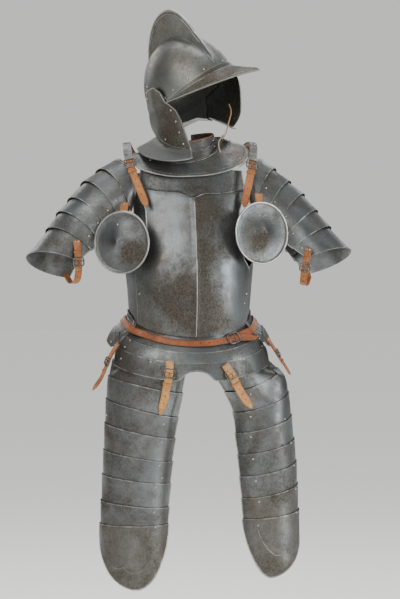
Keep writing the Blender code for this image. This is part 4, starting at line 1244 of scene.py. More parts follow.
def body_plates():
    """Breastplate with its band and ridge, and the backplate."""
    levels = [level for span in BODY_SPANS for level in spread(*span)] + [BODY_BOTTOM_LEVEL]
    breast_rows = []
    back_rows = []
    for level in levels:
        half = edge_angle(BREAST_EDGE, level)
        breast_rows.append([ring_point(TORSO, level, angle) for angle in spread(-half, half, 84)])
        half = edge_angle(BACK_EDGE, level)
        angles = spread(180 - half, 180 + half, 72)
        back_rows.append([ring_point(TORSO, level, angle, BACK_LIFT) for angle in angles])
    armhole_rows = sum(1 for level in levels if level < ARMHOLE_BOTTOM_LEVEL)
    sheet = Sheet(breast_rows, BODY_CORE, BODY_WALL, "se", 0.5, breast_relief, breast_stain_and_painted_light)
    build = plated(sheet, BODY_BEADS, armhole_rows)
    rivets([build], [sheet], BREAST_RIVETS)
    rivet_row(build, sheet, 0.86, (0.03, 0.97))
    lay_line(build, sheet, BAND_PIXELS, BAND_RADIUS)
    middle = sheet.outer[:, sheet.outer.shape[1] // 2]
    # The ridge tube takes part of the bright edge colour: a painted highlight along the crest.
    add_tube(build, [point for point in middle if point[2] < RIDGE_TOP], RIDGE_RADIUS, rim=0.5, ends=0.5)
    make_plate("breastplate", build, BREAST_TONE)

    sheet = Sheet(back_rows, BODY_CORE, BODY_WALL, "se", 0.5)
    build = plated(sheet, BODY_BEADS, armhole_rows)
    for down, places in ((0.84, (0.02, 0.98)), (0.95, (0.02, 0.98)), (0.05, (0.12, 0.88))):
        rivet_row(build, sheet, down, places)
    make_plate("backplate", build, BACK_TONE)


def lame_levels(lame, first):
    """Levels down a skirt lame; the first one has the belt's borders among them."""
    levels = spread(lame.top, lame.bottom, 16)
    return sorted(set(levels) | set(BELT_LEVELS)) if first else levels


def faulds():
    """Front skirt lames, the lowest with an arch over the crotch."""
    sheets = []
    for index, lame in enumerate(FAULD):
        last = index == len(FAULD) - 1
        rows = []
        for level in lame_levels(lame, index == 0):
            share = (level - lame.top) / (lame.bottom - lame.top)
            lift = lerp(2.4 if index else -0.4, 1.0 if last else -0.6, share)
            angles = spread(-FAULD_HALF_ANGLE, FAULD_HALF_ANGLE, 72)
            row = [ring_point(SKIRT, level, angle, lift) for angle in angles]
            for point in row if last else ():
                near = max(0.0, 1.0 - (point.x / CROTCH_ARCH_HALF_WIDTH) ** 2)
                point.z += CROTCH_ARCH_RISE * near * share ** 2
            rows.append(row)
        sheets.append(Sheet(rows, SKIRT_CORE, worn="tse" if index else "se", uneven=0.3))
    builds = [plated(sheet, beads) for sheet, beads in zip(sheets, FAULD_BEADS)]
    rivets(builds, sheets, FAULD_RIVETS)
    for index, build in enumerate(builds):
        make_plate(f"fauld_{index + 1}", build, tone_of(index))


def culets():
    """Rear skirt lames with leaf-shaped ends."""
    for index, lame in enumerate(CULET):
        rows = []
        for level in lame_levels(lame, index == 0):
            share = (level - lame.top) / (lame.bottom - lame.top)
            lift = CULET_LIFT + lerp(2.4 if index else 0.0, -0.6, share)
            start = CULET_START_ANGLE + CULET_LEAF * (2 * share - 1) ** 2
            rows.append([ring_point(SKIRT, level, angle, lift) for angle in spread(start, 360 - start, 90)])
        sheet = Sheet(rows, CULET_CORE, worn="tbse" if index else "bse", uneven=0.3)
        build = plated(sheet, CULET_BEADS)
        rivet_row(build, sheet, 0.72 if index else 0.55, (0.03, 0.25, 0.5, 0.75, 0.97))
        make_plate(f"culet_{index + 1}", build, tone_of(index + 3))


# Neck
def mirrored(rows):
    return [row._replace(base_x=-row.base_x, edge_x=-row.edge_x) for row in rows]


def gorget():
    """Front and back neck plates with turned lower edges."""
    front = mirrored(GORGET_FRONT[:0:-1]) + list(GORGET_FRONT)
    back = list(GORGET_BACK) + mirrored(GORGET_BACK[-2::-1])
    for name, half, number in (("gorget_front", front, 1), ("gorget_back", back, 2)):
        rows = []
        for share in spread(0, 1, 18):
            bow = GORGET_BOW * sin(pi * share)
            row = []
            for step in spread(0, len(half) - 1, 90):
                spot = blend(half, step)
                base_z = spot.base_z + NECK_SLOPE * spot.base_x
                edge_z = spot.edge_z + EDGE_SLOPE * spot.edge_x
                row.append(Vector((
                    lerp(spot.base_x, spot.edge_x, share),
                    lerp(spot.base_y, spot.edge_y, share),
                    lerp(base_z, edge_z, share) + bow,
                )))
            rows.append(row)
        sheet = Sheet(rows, GORGET_CORE, BODY_WALL, "tb")
        build = plated(sheet, GORGET_BEADS)
        add_tube(build, sheet.outer[-4], NECK_LINE_RADIUS, rim=1.6)
        if name == "gorget_front":
            rivets([build], [sheet], GORGET_RIVETS)
        rivet_row(build, sheet, 0.3, (0.04, 0.96))
        make_plate(name, build, tone_of(number) + GORGET_TONE)


def collar_point(share, angle, lift):
    """Point on the standing collar: share runs up it, and angle 0 is the front."""
    grown = lift - COLLAR_TAPER * share
    turn = radians(angle)
    depth = COLLAR_FRONT if cos(turn) > 0 else COLLAR_BACK
    ahead = (cos(turn) + 1) / 2
    base = lerp(COLLAR_BASE_REAR, COLLAR_BASE_FRONT, ahead) + COLLAR_SIDE_RISE * (1 - abs(cos(turn)))
    top = lerp(COLLAR_TOP_REAR, COLLAR_TOP_FRONT, ahead)
    x = (COLLAR_HALF_WIDTH + grown) * sin(turn)
    y = COLLAR_FORWARD - (depth + grown) * cos(turn)
    return Vector((x, y, lerp(base, top, share) + NECK_SLOPE * x))


def collars():
    """Two collar lames, the upper one bound with leather along its top."""
    angles = spread(-COLLAR_HALF_ANGLE, COLLAR_HALF_ANGLE, 96)
    for number, (word, low, high, lift) in enumerate(COLLAR_LAMES):
        rows = [[collar_point(share, angle, lift) for angle in angles] for share in spread(low, high, 10)]
        sheet = Sheet(rows, COLLAR_CORE, worn="tb", uneven=0.25)
        build = plated(sheet)
        line = sheet.border("b")
        if word == "upper":
            add_tube(build, line + np.array((0, 0, 0.6)), BINDING_RADIUS, BINDING_SLOT)
            line = sheet.outer[-3]
        add_tube(build, line, COLLAR_LINE_RADIUS, rim=1.6)
        rivet_row(build, sheet, 0.5, (0.1, 0.32, 0.68, 0.9), COLLAR_RIVET)
        materials = (PLATE_STEEL, RIVET_STEEL, TAN_LEATHER)
        make_piece(f"collar_lame_{word}", build, materials, tone_of(number + 4))


# Limbs
def limb_frame(rows, level, centre_y, splay, tilt):
    """Centre, outer semi-axis and front semi-axis directions of a limb ring."""
    row = blend(rows, level)
    outer = Vector((row.outer_x, 0, row.outer_z))
    inner = Vector((row.inner_x, 0, row.inner_z))
    centre = (outer + inner) / 2 + Vector((0, centre_y, 0))
    half = (outer - inner) / 2
    side = 1 if half.x > 0 else -1
    turn = radians(splay)
    semi = half.length / cos(turn)
    across = (half.normalized() * cos(turn) + Vector((0, sin(turn), 0))).normalized()
    up = Vector((-half.z, 0, half.x)) * side
    front = Vector((side * sin(turn), -cos(turn), 0)) * cos(radians(tilt))
    front += up.normalized() * sin(radians(tilt))
    return centre, across, semi, front, row.depth


def arm_point(side, level, angle, lift=0.0):
    """Point on the arm tube: angle 0 is the outer side and 90 the front."""
    centre, across, semi, front, depth = limb_frame(ARMS[side], level, ARM_CENTRE_Y, 0, ARM_TILT)
    turn = radians(angle)
    return centre + across * (semi + lift) * cos(turn) + front * (depth + lift) * sin(turn)


def spaudlers():
    """Six shoulder lames a side, each upper one outside the one below."""
    for side in (RIGHT, LEFT):
        sheets = []
        for lame in range(len(ARMS[side]) - 1):
            start = lame - (ARM_OVERLAP if lame else 0.0)
            rows = []
            for level in spread(start, lame + 1.0, 12):
                share = (level - start) / (lame + 1 - start)
                lift = lerp(ARM_SINK, ARM_FLARE, share ** 1.5)
                rows.append([arm_point(side, level, angle, lift) for angle in spread(*ARM_COVER, 72)])
            core = limb_frame(ARMS[side], lame + 0.5, ARM_CENTRE_Y, 0, ARM_TILT)[0]
            sheets.append(Sheet(rows, core, worn="bse" if lame else "tbse", uneven=0.3))
        builds = []
        for lame, sheet in enumerate(sheets):
            build = plated(sheet, SPAUDLER_BEADS if lame else SPAUDLER_BEADS + (SPAUDLER_TOP_BEAD,))
            if lame == 0:
                add_tube(build, sheet.outer[2], ARM_LINE_RADIUS, rim=0.6)
            rivet_row(build, sheet, 0.62, (0.10, 0.40))
            builds.append(build)
        rivets(builds, sheets, SPAUDLER_RIVETS[side])
        for lame, build in enumerate(builds):
            make_plate(f"spaudler_{SIDE_NAMES[side]}_{lame + 1}", build, tone_of(lame + (side == LEFT)))


def skirt_depth(x):
    """How far the top of a thigh defence stands forward, inside the skirt's lower edge."""
    row = SKIRT[-1]
    reach = 1.0 - (x / (row.half_width - SKIRT_INSIDE)) ** 2
    kept = (reach + SKIRT_LEAST + sqrt((reach - SKIRT_LEAST) ** 2 + SKIRT_SOFT)) / 2
    return -(row.front - SKIRT_INSIDE) * sqrt(kept)


def tuck_scale(point):
    """How much the top of a thigh defence draws in to stay inside the front skirt's lower edge."""
    row = SKIRT[-1]
    across = point.x / (row.half_width - SKIRT_INSIDE)
    forward = point.y / (row.front - SKIRT_INSIDE)
    reach = sqrt(across ** 2 + forward ** 2)
    if reach <= 1.0:
        return 1.0
    return lerp(1.0, 1.0 / reach, ramp(point.z, *TUCK_Z) * ramp(point.y, *TUCK_Y))


def thigh_ring(side, level, angle, lift):
    """Point on a thigh ring before it is tucked under the skirt."""
    centre, across, semi, front, depth = limb_frame(LEGS[side], level, LEG_CENTRE_Y, LEG_SPLAY[side], 0)
    turn = radians(angle)
    point = centre + across * (semi + lift) * cos(turn) + front * (depth + lift) * sin(turn)
    if level < len(SKIRT_BLEND) - 1:
        index = max(int(floor(level)), 0)
        share = lerp(SKIRT_BLEND[index], SKIRT_BLEND[index + 1], level - index)
        point.y = lerp(point.y, skirt_depth(point.x) - lift, share * ramp(sin(turn), 0.0, 0.6))
    return point


def leg_point(side, level, angle, lift=0.0):
    """Point on a thigh defence: angle 0 is the outer side and 90 the front."""
    scale = tuck_scale(thigh_ring(side, level, angle, 0.0))
    point = thigh_ring(side, level, angle, lift)
    point.x *= scale
    point.y *= scale
    return point


def knee_sheet(side):
    """Rounded plate that hangs from the last thigh ring and narrows to its tip."""
    middle = KNEE_MIDDLE_ANGLE[side]
    rows = []
    for step in spread(0, len(KNEE) - 1, 44):
        row = blend(KNEE, step)
        kept = degrees_of(asin(min(row.width, 1.0))) / 90
        line = []
        for angle in spread(lerp(middle, KNEE_COVER[0], kept), lerp(middle, KNEE_COVER[1], kept), 60):
            point = leg_point(side, KNEE_LEVEL, angle, KNEE_LIFT)
            point.z -= row.drop * KNEE_SCALE[side]
            line.append(point)
        rows.append(line)
    thigh = LEGS[side][3]
    return Sheet(rows, ((thigh.outer_x + thigh.inner_x) / 2, LEG_CENTRE_Y, -900))


def tassets():
    """Seven thigh lames and a rounded knee plate a side, each lower one outside."""
    for side in (RIGHT, LEFT):
        sheets = []
        for lame in range(KNEE_LEVEL):
            start = lame - (LEG_OVERLAP if lame else 0.0)
            rows = []
            for level in spread(start, lame + 1.0, 12):
                share = (level - start) / (lame + 1 - start)
                lift = lerp(1.8 if lame else -0.5, -1.4, share)
                rows.append([leg_point(side, level, angle, lift) for angle in spread(*LEG_COVER, 72)])
            core = limb_frame(LEGS[side], lame + 0.5, LEG_CENTRE_Y, 0, 0)[0]
            sheets.append(Sheet(rows, core, worn="tse"))
        builds = [plated(sheets[0], TASSET_BEADS)]
        builds += [plated(sheet, (LAME_TOP_BEAD,) + TASSET_BEADS) for sheet in sheets[1:]]
        sheets.append(knee_sheet(side))
        builds.append(plated(sheets[-1], (LAME_TOP_BEAD,) + TASSET_BEADS + (KNEE_TIP_BEAD,)))
        rivets(builds, sheets, TASSET_RIVETS[side])
        lay_line(builds[-1], sheets[-1], KNEE_ARCS[side], ARC_RADIUS)
        for lame, build in enumerate(builds):
            word = "knee" if lame == KNEE_LEVEL else str(lame + 1)
            tone = tone_of(lame + (2 if side == LEFT else 0))
            metal = BROWN_STEEL if lame >= BROWNED_FROM[side] else PLATE_STEEL
            make_plate(f"tasset_{SIDE_NAMES[side]}_{word}", build, tone, metal)


# Discs
def disc_stain_and_painted_light(grid):
    # Brown patina with painted highlights and painted shade on the discs.
    return stains_and_painted_light(DISC_STAINS_AND_PAINTED_LIGHT, grid)


def besagews():
    """Dished discs with a pointed boss and a rolled rim."""
    for side in (RIGHT, LEFT):
        place = DISCS[side]
        turn = Matrix.Rotation(radians(place.azimuth), 3, "Z") @ Matrix.Rotation(radians(90), 3, "X")
        centre = Vector(place[:3])
        rows = []
        for step in spread(0.02, len(DISC_PROFILE) - 1, 52):
            row = blend(DISC_PROFILE, step)
            rows.append([
                centre + turn @ Vector((row.radius * cos(a), row.radius * sin(a), row.rise))
                for a in spread(0, 2 * pi, 72)
            ])
        behind = centre + turn @ Vector((0, 0, -200))
        sheet = Sheet(rows, behind, worn="", uneven=0.12, stain_and_painted_light=disc_stain_and_painted_light)
        build = plated(sheet)
        add_tube(build, sheet.border("b")[:-1], DISC_RIM_RADIUS, closed=True, rim=0.3)
        rivets([build], [sheet], DISC_RIVETS[side])
        make_plate(f"besagew_{SIDE_NAMES[side]}", build, DISC_TONE)


# Helmet
HELMET_TURN = (
    Matrix.Rotation(radians(HELMET_YAW), 3, "Z")
    @ Matrix.Rotation(radians(-HELMET_TILT), 3, "X")
    @ Matrix.Rotation(radians(-HELMET_ROLL), 3, "Y")
)


def on_helmet(p, q, r):
    """World point of helmet coordinates; below the ears the helmet leans with the neck."""
    return Vector(HELMET_AT) + HELMET_TURN @ Vector((q + LEAN * min(r, 0.0), -p, r))


HEAD_CORE = on_helmet(SKULL_BACKSET, 0, -30)


def skull_point(fan, side, lift=0.0, comb=0.0):
    """Point of the skull: fan 0 is the front and 90 the top, side 0 is the middle plane."""
    reach = cos(radians(side))
    p = SKULL_BACKSET + (SKULL_LENGTH + lift + comb) * cos(radians(fan)) * reach
    r = (SKULL_HEIGHT + lift + comb) * sin(radians(fan)) * reach
    q = (SKULL_WIDTH + lift) * sin(radians(side))
    return on_helmet(p, q, r)


def comb_height(fan):
    """Height of the comb above the skull at a fan angle, on a smooth curve."""
    for index, (low, high) in enumerate(zip(COMB, COMB[1:])):
        if low.fan <= fan <= high.fan:
            share = (fan - low.fan) / (high.fan - low.fan)
            return max(blend(COMB, index + share).height, 0.0)
    return 0.0


def head_point(row, angle, lift=0.0):
    """Point on a section of the head: angle 0 is the face and 90 the wearer's right."""
    turn = radians(angle)
    away = from_front(angle)
    rear = unit((away - FACE_ANGLE) / (NAPE_ANGLE - FACE_ANGLE))
    nape = max(away - NAPE_ANGLE, 0.0) / (180 - NAPE_ANGLE)
    p = SKULL_BACKSET + (row.length + row.flare * rear + lift) * cos(turn)
    q = -(row.width + row.flare * rear + lift) * sin(turn)
    return on_helmet(p, q, row.r + row.rise * rear ** 1.25 + row.sink * nape)


def skull_sides(fan):
    """Sides and rises across the skull at a fan angle, over the comb and down the other side."""
    comb = comb_height(fan)
    half = [(side, 0.0) for side in spread(-SKULL_SIDE_ANGLE, -5.0, 30)]
    half += [(-side, comb * share) for side, share in COMB_FLANKS]
    return half + [(0.0, comb)] + [(-side, rise) for side, rise in half[::-1]]


class Skull(Sheet):
    """Skull grid: outer face with the comb, inner face a plain dome."""

    def __init__(self):
        outer = []
        inner = []
        for fan in spread(SKULL_BROW_ANGLE, SKULL_NAPE_ANGLE, 110):
            sides = skull_sides(fan)
            outer.append([tuple(skull_point(fan, side, 0, rise)) for side, rise in sides])
            inner.append([tuple(skull_point(fan, side, -BODY_WALL)) for side, _ in sides])
        self.outer = np.array(outer)
        self.inner = np.array(inner)
        self.rim = np.full(self.outer.shape[:2], RIM_FAR)
        self.stain_and_painted_light = np.zeros(self.outer.shape[:2])


def peak_stain(grid):
    """Browner patina all over the peak."""
    return np.full(grid.shape[:2], PEAK_STAIN)


def cheek_stain(grid):
    """Darker patina over the front panel of a cheekpiece, and cleaner metal on its flange."""
    share = np.linspace(0, 1, grid.shape[1])[None, :]
    down = np.linspace(0, 1, grid.shape[0])[:, None]
    panel = CHEEK_STAIN * np.clip((PANEL_REAR - share) / PANEL_FADE, 0, 1)
    flange = np.clip((down - FLANGE_FROM) / FLANGE_FADE, 0, 1)
    return panel * (1 - flange) + FLANGE_STAIN * flange


def helmet_skull():
    """Skull with a rounded crest and two lines worked along its comb."""
    sheet = Skull()
    build = plated(sheet)
    crest = [skull_point(fan, 0.0, 0.0, comb_height(fan)) for fan in spread(*CREST_SPAN, 110)]
    add_tube(build, crest, CREST_RADIUS, ends=0.4)
    for side in (-COMB_LINE_SIDE, COMB_LINE_SIDE):
        line = []
        for fan in spread(*COMB_LINE_SPAN, 90):
            line.append(skull_point(fan, side, 0.4, max(comb_height(fan) - COMB_LINE_DROP, 0.0)))
        add_tube(build, line, COMB_LINE_RADIUS, rim=LINE_RIM, ends=0.4)
    for side in (-SKULL_SIDE_ANGLE, SKULL_SIDE_ANGLE):
        edge = [skull_point(fan, side, -0.6) for fan in spread(*SKULL_EDGE_SPAN, 60)]
        add_tube(build, edge, SKULL_EDGE_RADIUS, rim=LINE_RIM)
    rivets([build], [sheet], SKULL_RIVETS)
    make_helmet_plate("burgonet_skull", build)


def helmet_peak():
    sides = spread(-PEAK_SIDE_ANGLE, PEAK_SIDE_ANGLE, 84)
    rows = []
    for fan in spread(SKULL_BROW_ANGLE + 4, SKULL_BROW_ANGLE, 4):
        rows.append([skull_point(fan, side, PEAK_LIFT) for side in sides])
    for reach in spread(0.06, 1.0, 16):
        row = []
        for side in sides:
            share = max(0.0, 1.0 - abs(side) / PEAK_SIDE_ANGLE) ** 0.9
            ahead = Vector((0, -PEAK_REACH, -PEAK_DROP)) * share * reach
            inward = Vector((-SKULL_WIDTH * sin(radians(side)), 0, 0)) * 0.5 * share * reach
            base = skull_point(SKULL_BROW_ANGLE, side, PEAK_LIFT + 2 * reach)
            row.append(base + HELMET_TURN @ (ahead + inward))
        rows.append(row)
    sheet = Sheet(rows, on_helmet(0, 0, -60), BODY_WALL, "tb", 0.2, stain_and_painted_light=peak_stain)
    build = plated(sheet, PEAK_BEADS)
    for row, radius in zip((-4, 5), PEAK_LINE_RADII):
        add_tube(build, sheet.outer[row], radius, rim=LINE_RIM)
    make_helmet_plate("burgonet_peak", build, PEAK_TONE)


def cheekpieces():
    for side in (RIGHT, LEFT):
        rows = []
        for level in spread(0, len(HEAD) - 1, 56):
            row = straight(HEAD, level)
            front = row.right_front if side == RIGHT else row.left_front
            dip = LEFT_CHEEK_DIP * ramp(-row.r, *CHEEK_DIP_FROM) if side == LEFT else 0.0
            line = []
            for share in spread(0, 1, 30):
                lowered = row._replace(r=row.r - dip * max(0.0, 1 - share / CHEEK_DIP_SHARE))
                line.append(head_point(lowered, -side * lerp(front, row.cheek_rear, share), CHEEK_LIFT))
            rows.append(line)
        sheet = Sheet(rows, HEAD_CORE, uneven=0.2, stain_and_painted_light=cheek_stain)
        build = plated(sheet, CHEEK_BEADS)
        rivets([build], [sheet], CHEEK_RIVETS[side])
        if side == RIGHT:
            lay_line(build, sheet, CHEEK_CREASE, CREASE_RADIUS)
        for down in (0.12, 0.3, 0.5):
            rivet_row(build, sheet, down, (0.94,), HELMET_RIVET)
        make_helmet_plate(f"cheekpiece_{SIDE_NAMES[side]}", build, CHEEK_TONE)


def neck_guard():
    sides = spread(-GUARD_HALF_ANGLE, GUARD_HALF_ANGLE, 60)
    keys = []
    for fan in (SKULL_NAPE_ANGLE - 5, SKULL_NAPE_ANGLE):
        keys.append([skull_point(fan, side, GUARD_LAP) for side in sides])
    for row in HEAD[-GUARD_ROWS:]:
        lower = row._replace(r=row.r + GUARD_LOWER)
        keys.append([head_point(lower, 180 + side, GUARD_LIFT) for side in sides])
    rows = []
    for high, low in zip(keys, keys[1:]):
        for share in spread(0, 1, 6)[:-1]:
            rows.append([a.lerp(b, share) for a, b in zip(high, low)])
    rows.append(keys[-1])
    sheet = Sheet(rows, HEAD_CORE, uneven=0.2)
    build = plated(sheet, GUARD_BEADS)
    rivet_row(build, sheet, 0.1, (0.1, 0.3, 0.5, 0.7, 0.9), HELMET_RIVET)
    make_helmet_plate("neck_guard", build, GUARD_TONE)


# Leather
def on_path(points, share):
    """Point at a share of the way along a smooth curve through the given ones."""
    table = [Place(*point) for point in points]
    return Vector(blend(table, (len(table) - 1) * unit(share)))


def path_length(points):
    return sum((b - a).length for a, b in zip(points, points[1:]))


class Ribbon:
    """Strap centre line with its frames; its inner face looks at a core that moves from start to end."""

    def __init__(self, path, start_core, end_core=None):
        self.path = path
        self.start_core = Vector(start_core)
        self.end_core = Vector(end_core or start_core)
        self.length = path_length([on_path(path, share) for share in spread(0, 1, 48)])

    def core(self, share):
        return self.start_core.lerp(self.end_core, share)

    def at(self, share):
        """Place, direction along, direction across and direction out at a share of the way."""
        point = on_path(self.path, share)
        along = (on_path(self.path, share + 0.01) - on_path(self.path, share - 0.01)).normalized()
        across = along.cross(point - self.core(share)).normalized()
        away = across.cross(along).normalized()
        if away.dot(point - self.core(share)) < 0:
            away = -away
        return point, along, across, away


def add_band(build, ribbon, width, end=1.0, lift=0.0, wall=STRAP_WALL, pointed=True):
    """Length of leather over a ribbon, with softened edges and a pointed tip if asked."""
    rows = []
    for share in spread(0.0, end, max(8, int(44 * end))):
        point, _, across, away = ribbon.at(share)
        half = width / 2
        if pointed:
            left = (end - share) * ribbon.length
            half *= lerp(TIP_WIDTH, 1.0, min(left / (width * TIP_LENGTH), 1.0) ** 0.8)
        rows.append([point + across * half * u + away * (lift + wall - edge_drop(u)) for u in ACROSS])
    Sheet(rows, ribbon.core(0.5), wall - 0.3, uneven=0.12).into(build, LEATHER_SLOT)


def edge_drop(u):
    """How far the face of a strap rounds off at its edges."""
    return EDGE_DROP if abs(u) == 1.0 else 0.0


def add_buckle(build, centre, across, along, away, width, height, tongue_down=1):
    """Forged frame with rounded corners, a middle bar and a tongue that rests on the frame."""
    w = width / 2
    h = height / 2
    c = BUCKLE_CORNER * height
    k = c * 0.3
    corners = (
        (-w, c - h), (k - w, k - h), (c - w, -h), (0, -h), (w - c, -h), (w - k, k - h), (w, c - h), (w, 0),
        (w, h - c), (w - k, h - k), (w - c, h), (0, h), (c - w, h), (k - w, h - k), (-w, h - c), (-w, 0),
    )
    frame_line = [centre + across * u + along * v for u, v in corners]
    add_tube(build, frame_line, BUCKLE_WIRE / 2, IRON_SLOT, closed=True)
    bar = -height * 0.12 * tongue_down
    add_tube(build, [centre + across * u + along * bar for u in spread(-w, w, 4)], BUCKLE_BAR, IRON_SLOT)
    tongue = []
    for share in spread(0, 1, 8):
        reach = lerp(bar, (h + 2.2) * tongue_down, share)
        tongue.append(centre + along * reach + away * (1.5 + 1.6 * sin(pi * share)))
    add_tube(build, tongue, BUCKLE_TONGUE, IRON_SLOT, ends=0.7)


def add_strap_buckle(build, ribbon, buckle):
    """Buckle on a ribbon, laid flat over the bend of the strap."""
    reach = buckle.height / 2 / ribbon.length
    above = on_path(ribbon.path, buckle.at - reach)
    below = on_path(ribbon.path, buckle.at + reach)
    _, along, across, away = ribbon.at(buckle.at)
    centre = (above + below) / 2 + away * (STRAP_WALL + BUCKLE_LIFT)
    add_buckle(build, centre, across, along, away, buckle.width, buckle.height)


def add_keeper(build, ribbon, keeper, width):
    """Leather loop across a strap."""
    point, along, across, away = ribbon.at(keeper.at)
    rows = []
    for v in spread(-keeper.band / 2, keeper.band / 2, 4):
        rows.append([
            point + along * v + across * u * width / 2 + away * (STRAP_WALL + rise)
            for u, rise in KEEPER_PROFILE
        ])
    Sheet(rows, point - away * 40, 1.3, "tb", 0.05).into(build, LEATHER_SLOT)


def add_strap_rivets(build, ribbon, spots, lift, dome):
    """Rivets at shares of the way and places across, in millimetres."""
    for share, off in spots:
        point, _, across, away = ribbon.at(share)
        add_dome(build, point + across * off + away * (STRAP_WALL + lift), away, dome, STRAP_RIVET_SLOT)


def add_cover(build, ribbon, width):
    """Steel cover riveted over the top end of a shoulder strap."""
    rows = []
    for share in spread(*COVER, 10):
        point, _, across, away = ribbon.at(share)
        rows.append([
            point + across * u * width / 2 + away * (STRAP_WALL + rise) for u, rise in COVER_PROFILE
        ])
    Sheet(rows, ribbon.start_core, 1.0, uneven=0.1).into(build, COVER_SLOT)
    spots = [(lerp(*COVER, share), off) for share in (0.25, 0.75) for off in (-4.5, 4.5)]
    add_strap_rivets(build, ribbon, spots, COVER_WALL, COVER_RIVET)


def make_strap(word, side, ribbon, face=TAN_LEATHER):
    """Strap of one kind with its lining, cover, buckle, keeper, holes and rivets."""
    kind = STRAP_KINDS[word]
    build = Build()
    add_band(build, ribbon, kind.width, pointed=kind.buckle is not None)
    if kind.lining:
        lining = kind.lining
        add_band(build, ribbon, lining.width, lining.end, STRAP_WALL, lining.wall, pointed=False)
    if word == "shoulder":
        add_cover(build, ribbon, kind.width)
    if kind.buckle:
        add_strap_buckle(build, ribbon, kind.buckle)
        add_keeper(build, ribbon, kind.keeper, kind.width)
    # Holes are dark discs of painted shade on the strap's face.
    for share in kind.holes:
        point, _, _, away = ribbon.at(share)
        add_dome(build, point + away * (STRAP_WALL - 0.05), away, HOLE_DOME, HOLE_SLOT)
    add_strap_rivets(build, ribbon, kind.rivets, kind.rivet_lift, kind.rivet)
    make_piece(f"{word}_strap_{SIDE_NAMES[side]}", build, (face,) + STRAP_METALS)


def on_front(table, x, z, lift):
    """Point of a body ring surface that shows at x and z from the front."""
    low = 0.0
    high = len(table) - 1.0
    for _ in range(SEARCH_STEPS):
        level = (low + high) / 2
        row = blend(table, level)
        angle = degrees_of(asin(min(max(x / (row.half_width + lift), -1.0), 1.0)))
        point = ring_point(table, level, angle, lift)
        if point.z > z:
            low = level
        else:
            high = level
    return point


def on_leg(side, x, z, lift):
    """Point of a thigh defence that shows at x and z from the front."""
    low = 0.0
    high = float(KNEE_LEVEL)
    for _ in range(SEARCH_STEPS):
        level = (low + high) / 2
        first = 5.0
        last = 175.0
        for _ in range(SEARCH_STEPS):
            angle = (first + last) / 2
            point = leg_point(side, level, angle, lift)
            if (point.x - x) * side > 0:
                first = angle
            else:
                last = angle
        if point.z > z:
            low = level
        else:
            high = level
    return point


def straps():
    """Shoulder, thigh, hip, arm and disc straps of both sides."""
    for side in (RIGHT, LEFT):
        make_strap("shoulder", side, Ribbon(SHOULDER_STRAPS[side], (side * 134, 20, -40)))
        path = [on_front(SKIRT, *spot) for spot in THIGH_STRAP_TOPS[side]]
        path += [on_leg(side, *spot) for spot in THIGH_STRAP_TAILS[side]]
        start_core, end_core = ((point.x * 0.9, 0, point.z) for point in (path[0], path[-1]))
        make_strap("thigh", side, Ribbon(path, start_core, end_core), PALE_LEATHER)
        make_strap("hip", side, Ribbon(HIP_STRAPS[side], (side * 120, -30, -470)))
        make_strap("arm", side, Ribbon(ARM_STRAPS[side], ARM_STRAP_CORES[side]))
        place = DISCS[side]
        turn = Matrix.Rotation(radians(place.azimuth), 3, "Z")
        path = [Vector(place[:3]) + turn @ Vector(point) for point in DISC_STRAP]
        make_strap("besagew", side, Ribbon(path, Vector(place[:3]) + turn @ Vector((0, 60, 20))))


def belt_point(level, angle, lift):
    """Place of the belt's inner face: over the first front lame, and over the rear one from the hips."""
    share = ramp(from_front(angle), *BELT_HIP_ANGLES)
    return ring_point(SKIRT, level, angle, BELT_LIFT + lift + (CULET_LIFT + 0.8) * share)


def belt_band():
    """Leather of the belt, with a lap from its own start on and a pointed tail that hangs lower."""
    rows = []
    for angle in spread(BELT_START, BELT_START + 360 + BELT_TAIL, BELT_STEPS):
        lap = unit((angle - BELT_START - BELT_LAP_START) / BELT_LAP_RUN)
        drop = max(angle - BELT_START - 360, 0.0) / BELT_TAIL
        keep = lerp(TIP_WIDTH, 1.0, min((1.0 - drop) / 0.22, 1.0)) if drop > 0 else 1.0
        middle = BELT_MIDDLE + 0.5 * drop ** 1.5
        lift = BELT_LAP * lap + STRAP_WALL
        rows.append([belt_point(middle + BELT_HALF * keep * u, angle, lift - edge_drop(u)) for u in ACROSS])
    return Sheet(rows, BELT_CORE, 2.1, uneven=0.12)


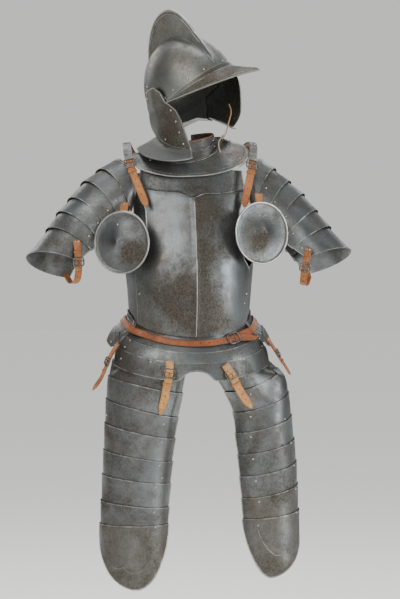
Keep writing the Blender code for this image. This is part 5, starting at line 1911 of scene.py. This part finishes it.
def waist_belt():
    """Belt that starts under its buckle, runs round the back and ends in a loose tail."""
    build = plated(belt_band())
    lift = BELT_LAP + STRAP_WALL + BUCKLE_LIFT
    centre = belt_point(BELT_MIDDLE, BELT_START + 4, lift)
    across = (belt_point(BELT_MIDDLE, BELT_START + 8, lift) - centre).normalized()
    along = (belt_point(BELT_LEVELS[1], BELT_START + 4, lift) - centre).normalized()
    away = across.cross(along).normalized()
    if away.dot(centre) < 0:
        away = -away
    add_buckle(build, centre, along, across, away, *BELT_BUCKLE, tongue_down=-1)
    # Belt holes are dark discs of painted shade.
    for angle in BELT_HOLES:
        spot = belt_point(BELT_MIDDLE, angle, BELT_LAP + STRAP_WALL - 0.05)
        add_dome(build, spot, spot - Vector((0, 0, spot.z)), HOLE_DOME, HOLE_SLOT)
    rows = []
    at = BELT_START + BELT_KEEPER_AT
    for turn in spread(at - 1.6, at + 1.6, 4):
        rows.append([
            belt_point(BELT_MIDDLE + BELT_HALF * u, turn, BELT_LAP + STRAP_WALL + rise)
            for u, rise in BELT_KEEPER_PROFILE
        ])
    Sheet(rows, BELT_CORE, worn="tb", uneven=0.05).into(build, LEATHER_SLOT)
    make_piece("waist_belt", build, (BELT_LEATHER,) + STRAP_METALS)


def lace_knot():
    """Knot drawn tight round the lace."""
    centre = on_path(LACE, KNOT_SHARE)
    down = (on_path(LACE, KNOT_SHARE + 0.03) - on_path(LACE, KNOT_SHARE - 0.03)).normalized()
    side = down.orthogonal().normalized()
    other = down.cross(side)
    build = Build()
    for rise, lean, radius in KNOT_TURNS:
        ring = []
        for turn in spread(0, 2 * pi, 16)[:-1]:
            out = side * cos(turn) + other * sin(turn)
            ring.append(centre + out * radius + down * (rise + lean * radius * sin(turn)))
        add_tube(build, ring, LACE_THICKNESS * 0.42, closed=True)
    knot = add_object("lace_knot", build.mesh("lace_knot", (THONG_LEATHER,)))
    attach(knot, "root")
    return knot


def cheek_lace():
    """Thin leather thong that hangs knotted from the left cheekpiece."""
    wire = bpy.data.curves.new("cheek_lace", "CURVE")
    wire.dimensions = "3D"
    wire.bevel_depth = LACE_THICKNESS * MM / 2
    wire.bevel_resolution = 3
    wire.use_fill_caps = True
    line = wire.splines.new("POLY")
    points = [on_path(LACE, share) for share in spread(0, 1, 60)]
    line.points.add(len(points) - 1)
    for point, place in zip(line.points, points):
        point.co = (*(place * MM), 1.0)
    lace = add_object("cheek_lace", wire)
    wire.materials.append(THONG_LEATHER)
    knot = lace_knot()
    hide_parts("cheek_lace")
    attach(lace, "root")


cheek_lace()
body_plates()
faulds()
culets()
gorget()
collars()
spaudlers()
tassets()
besagews()
helmet_skull()
helmet_peak()
cheekpieces()
neck_guard()
waist_belt()
straps()
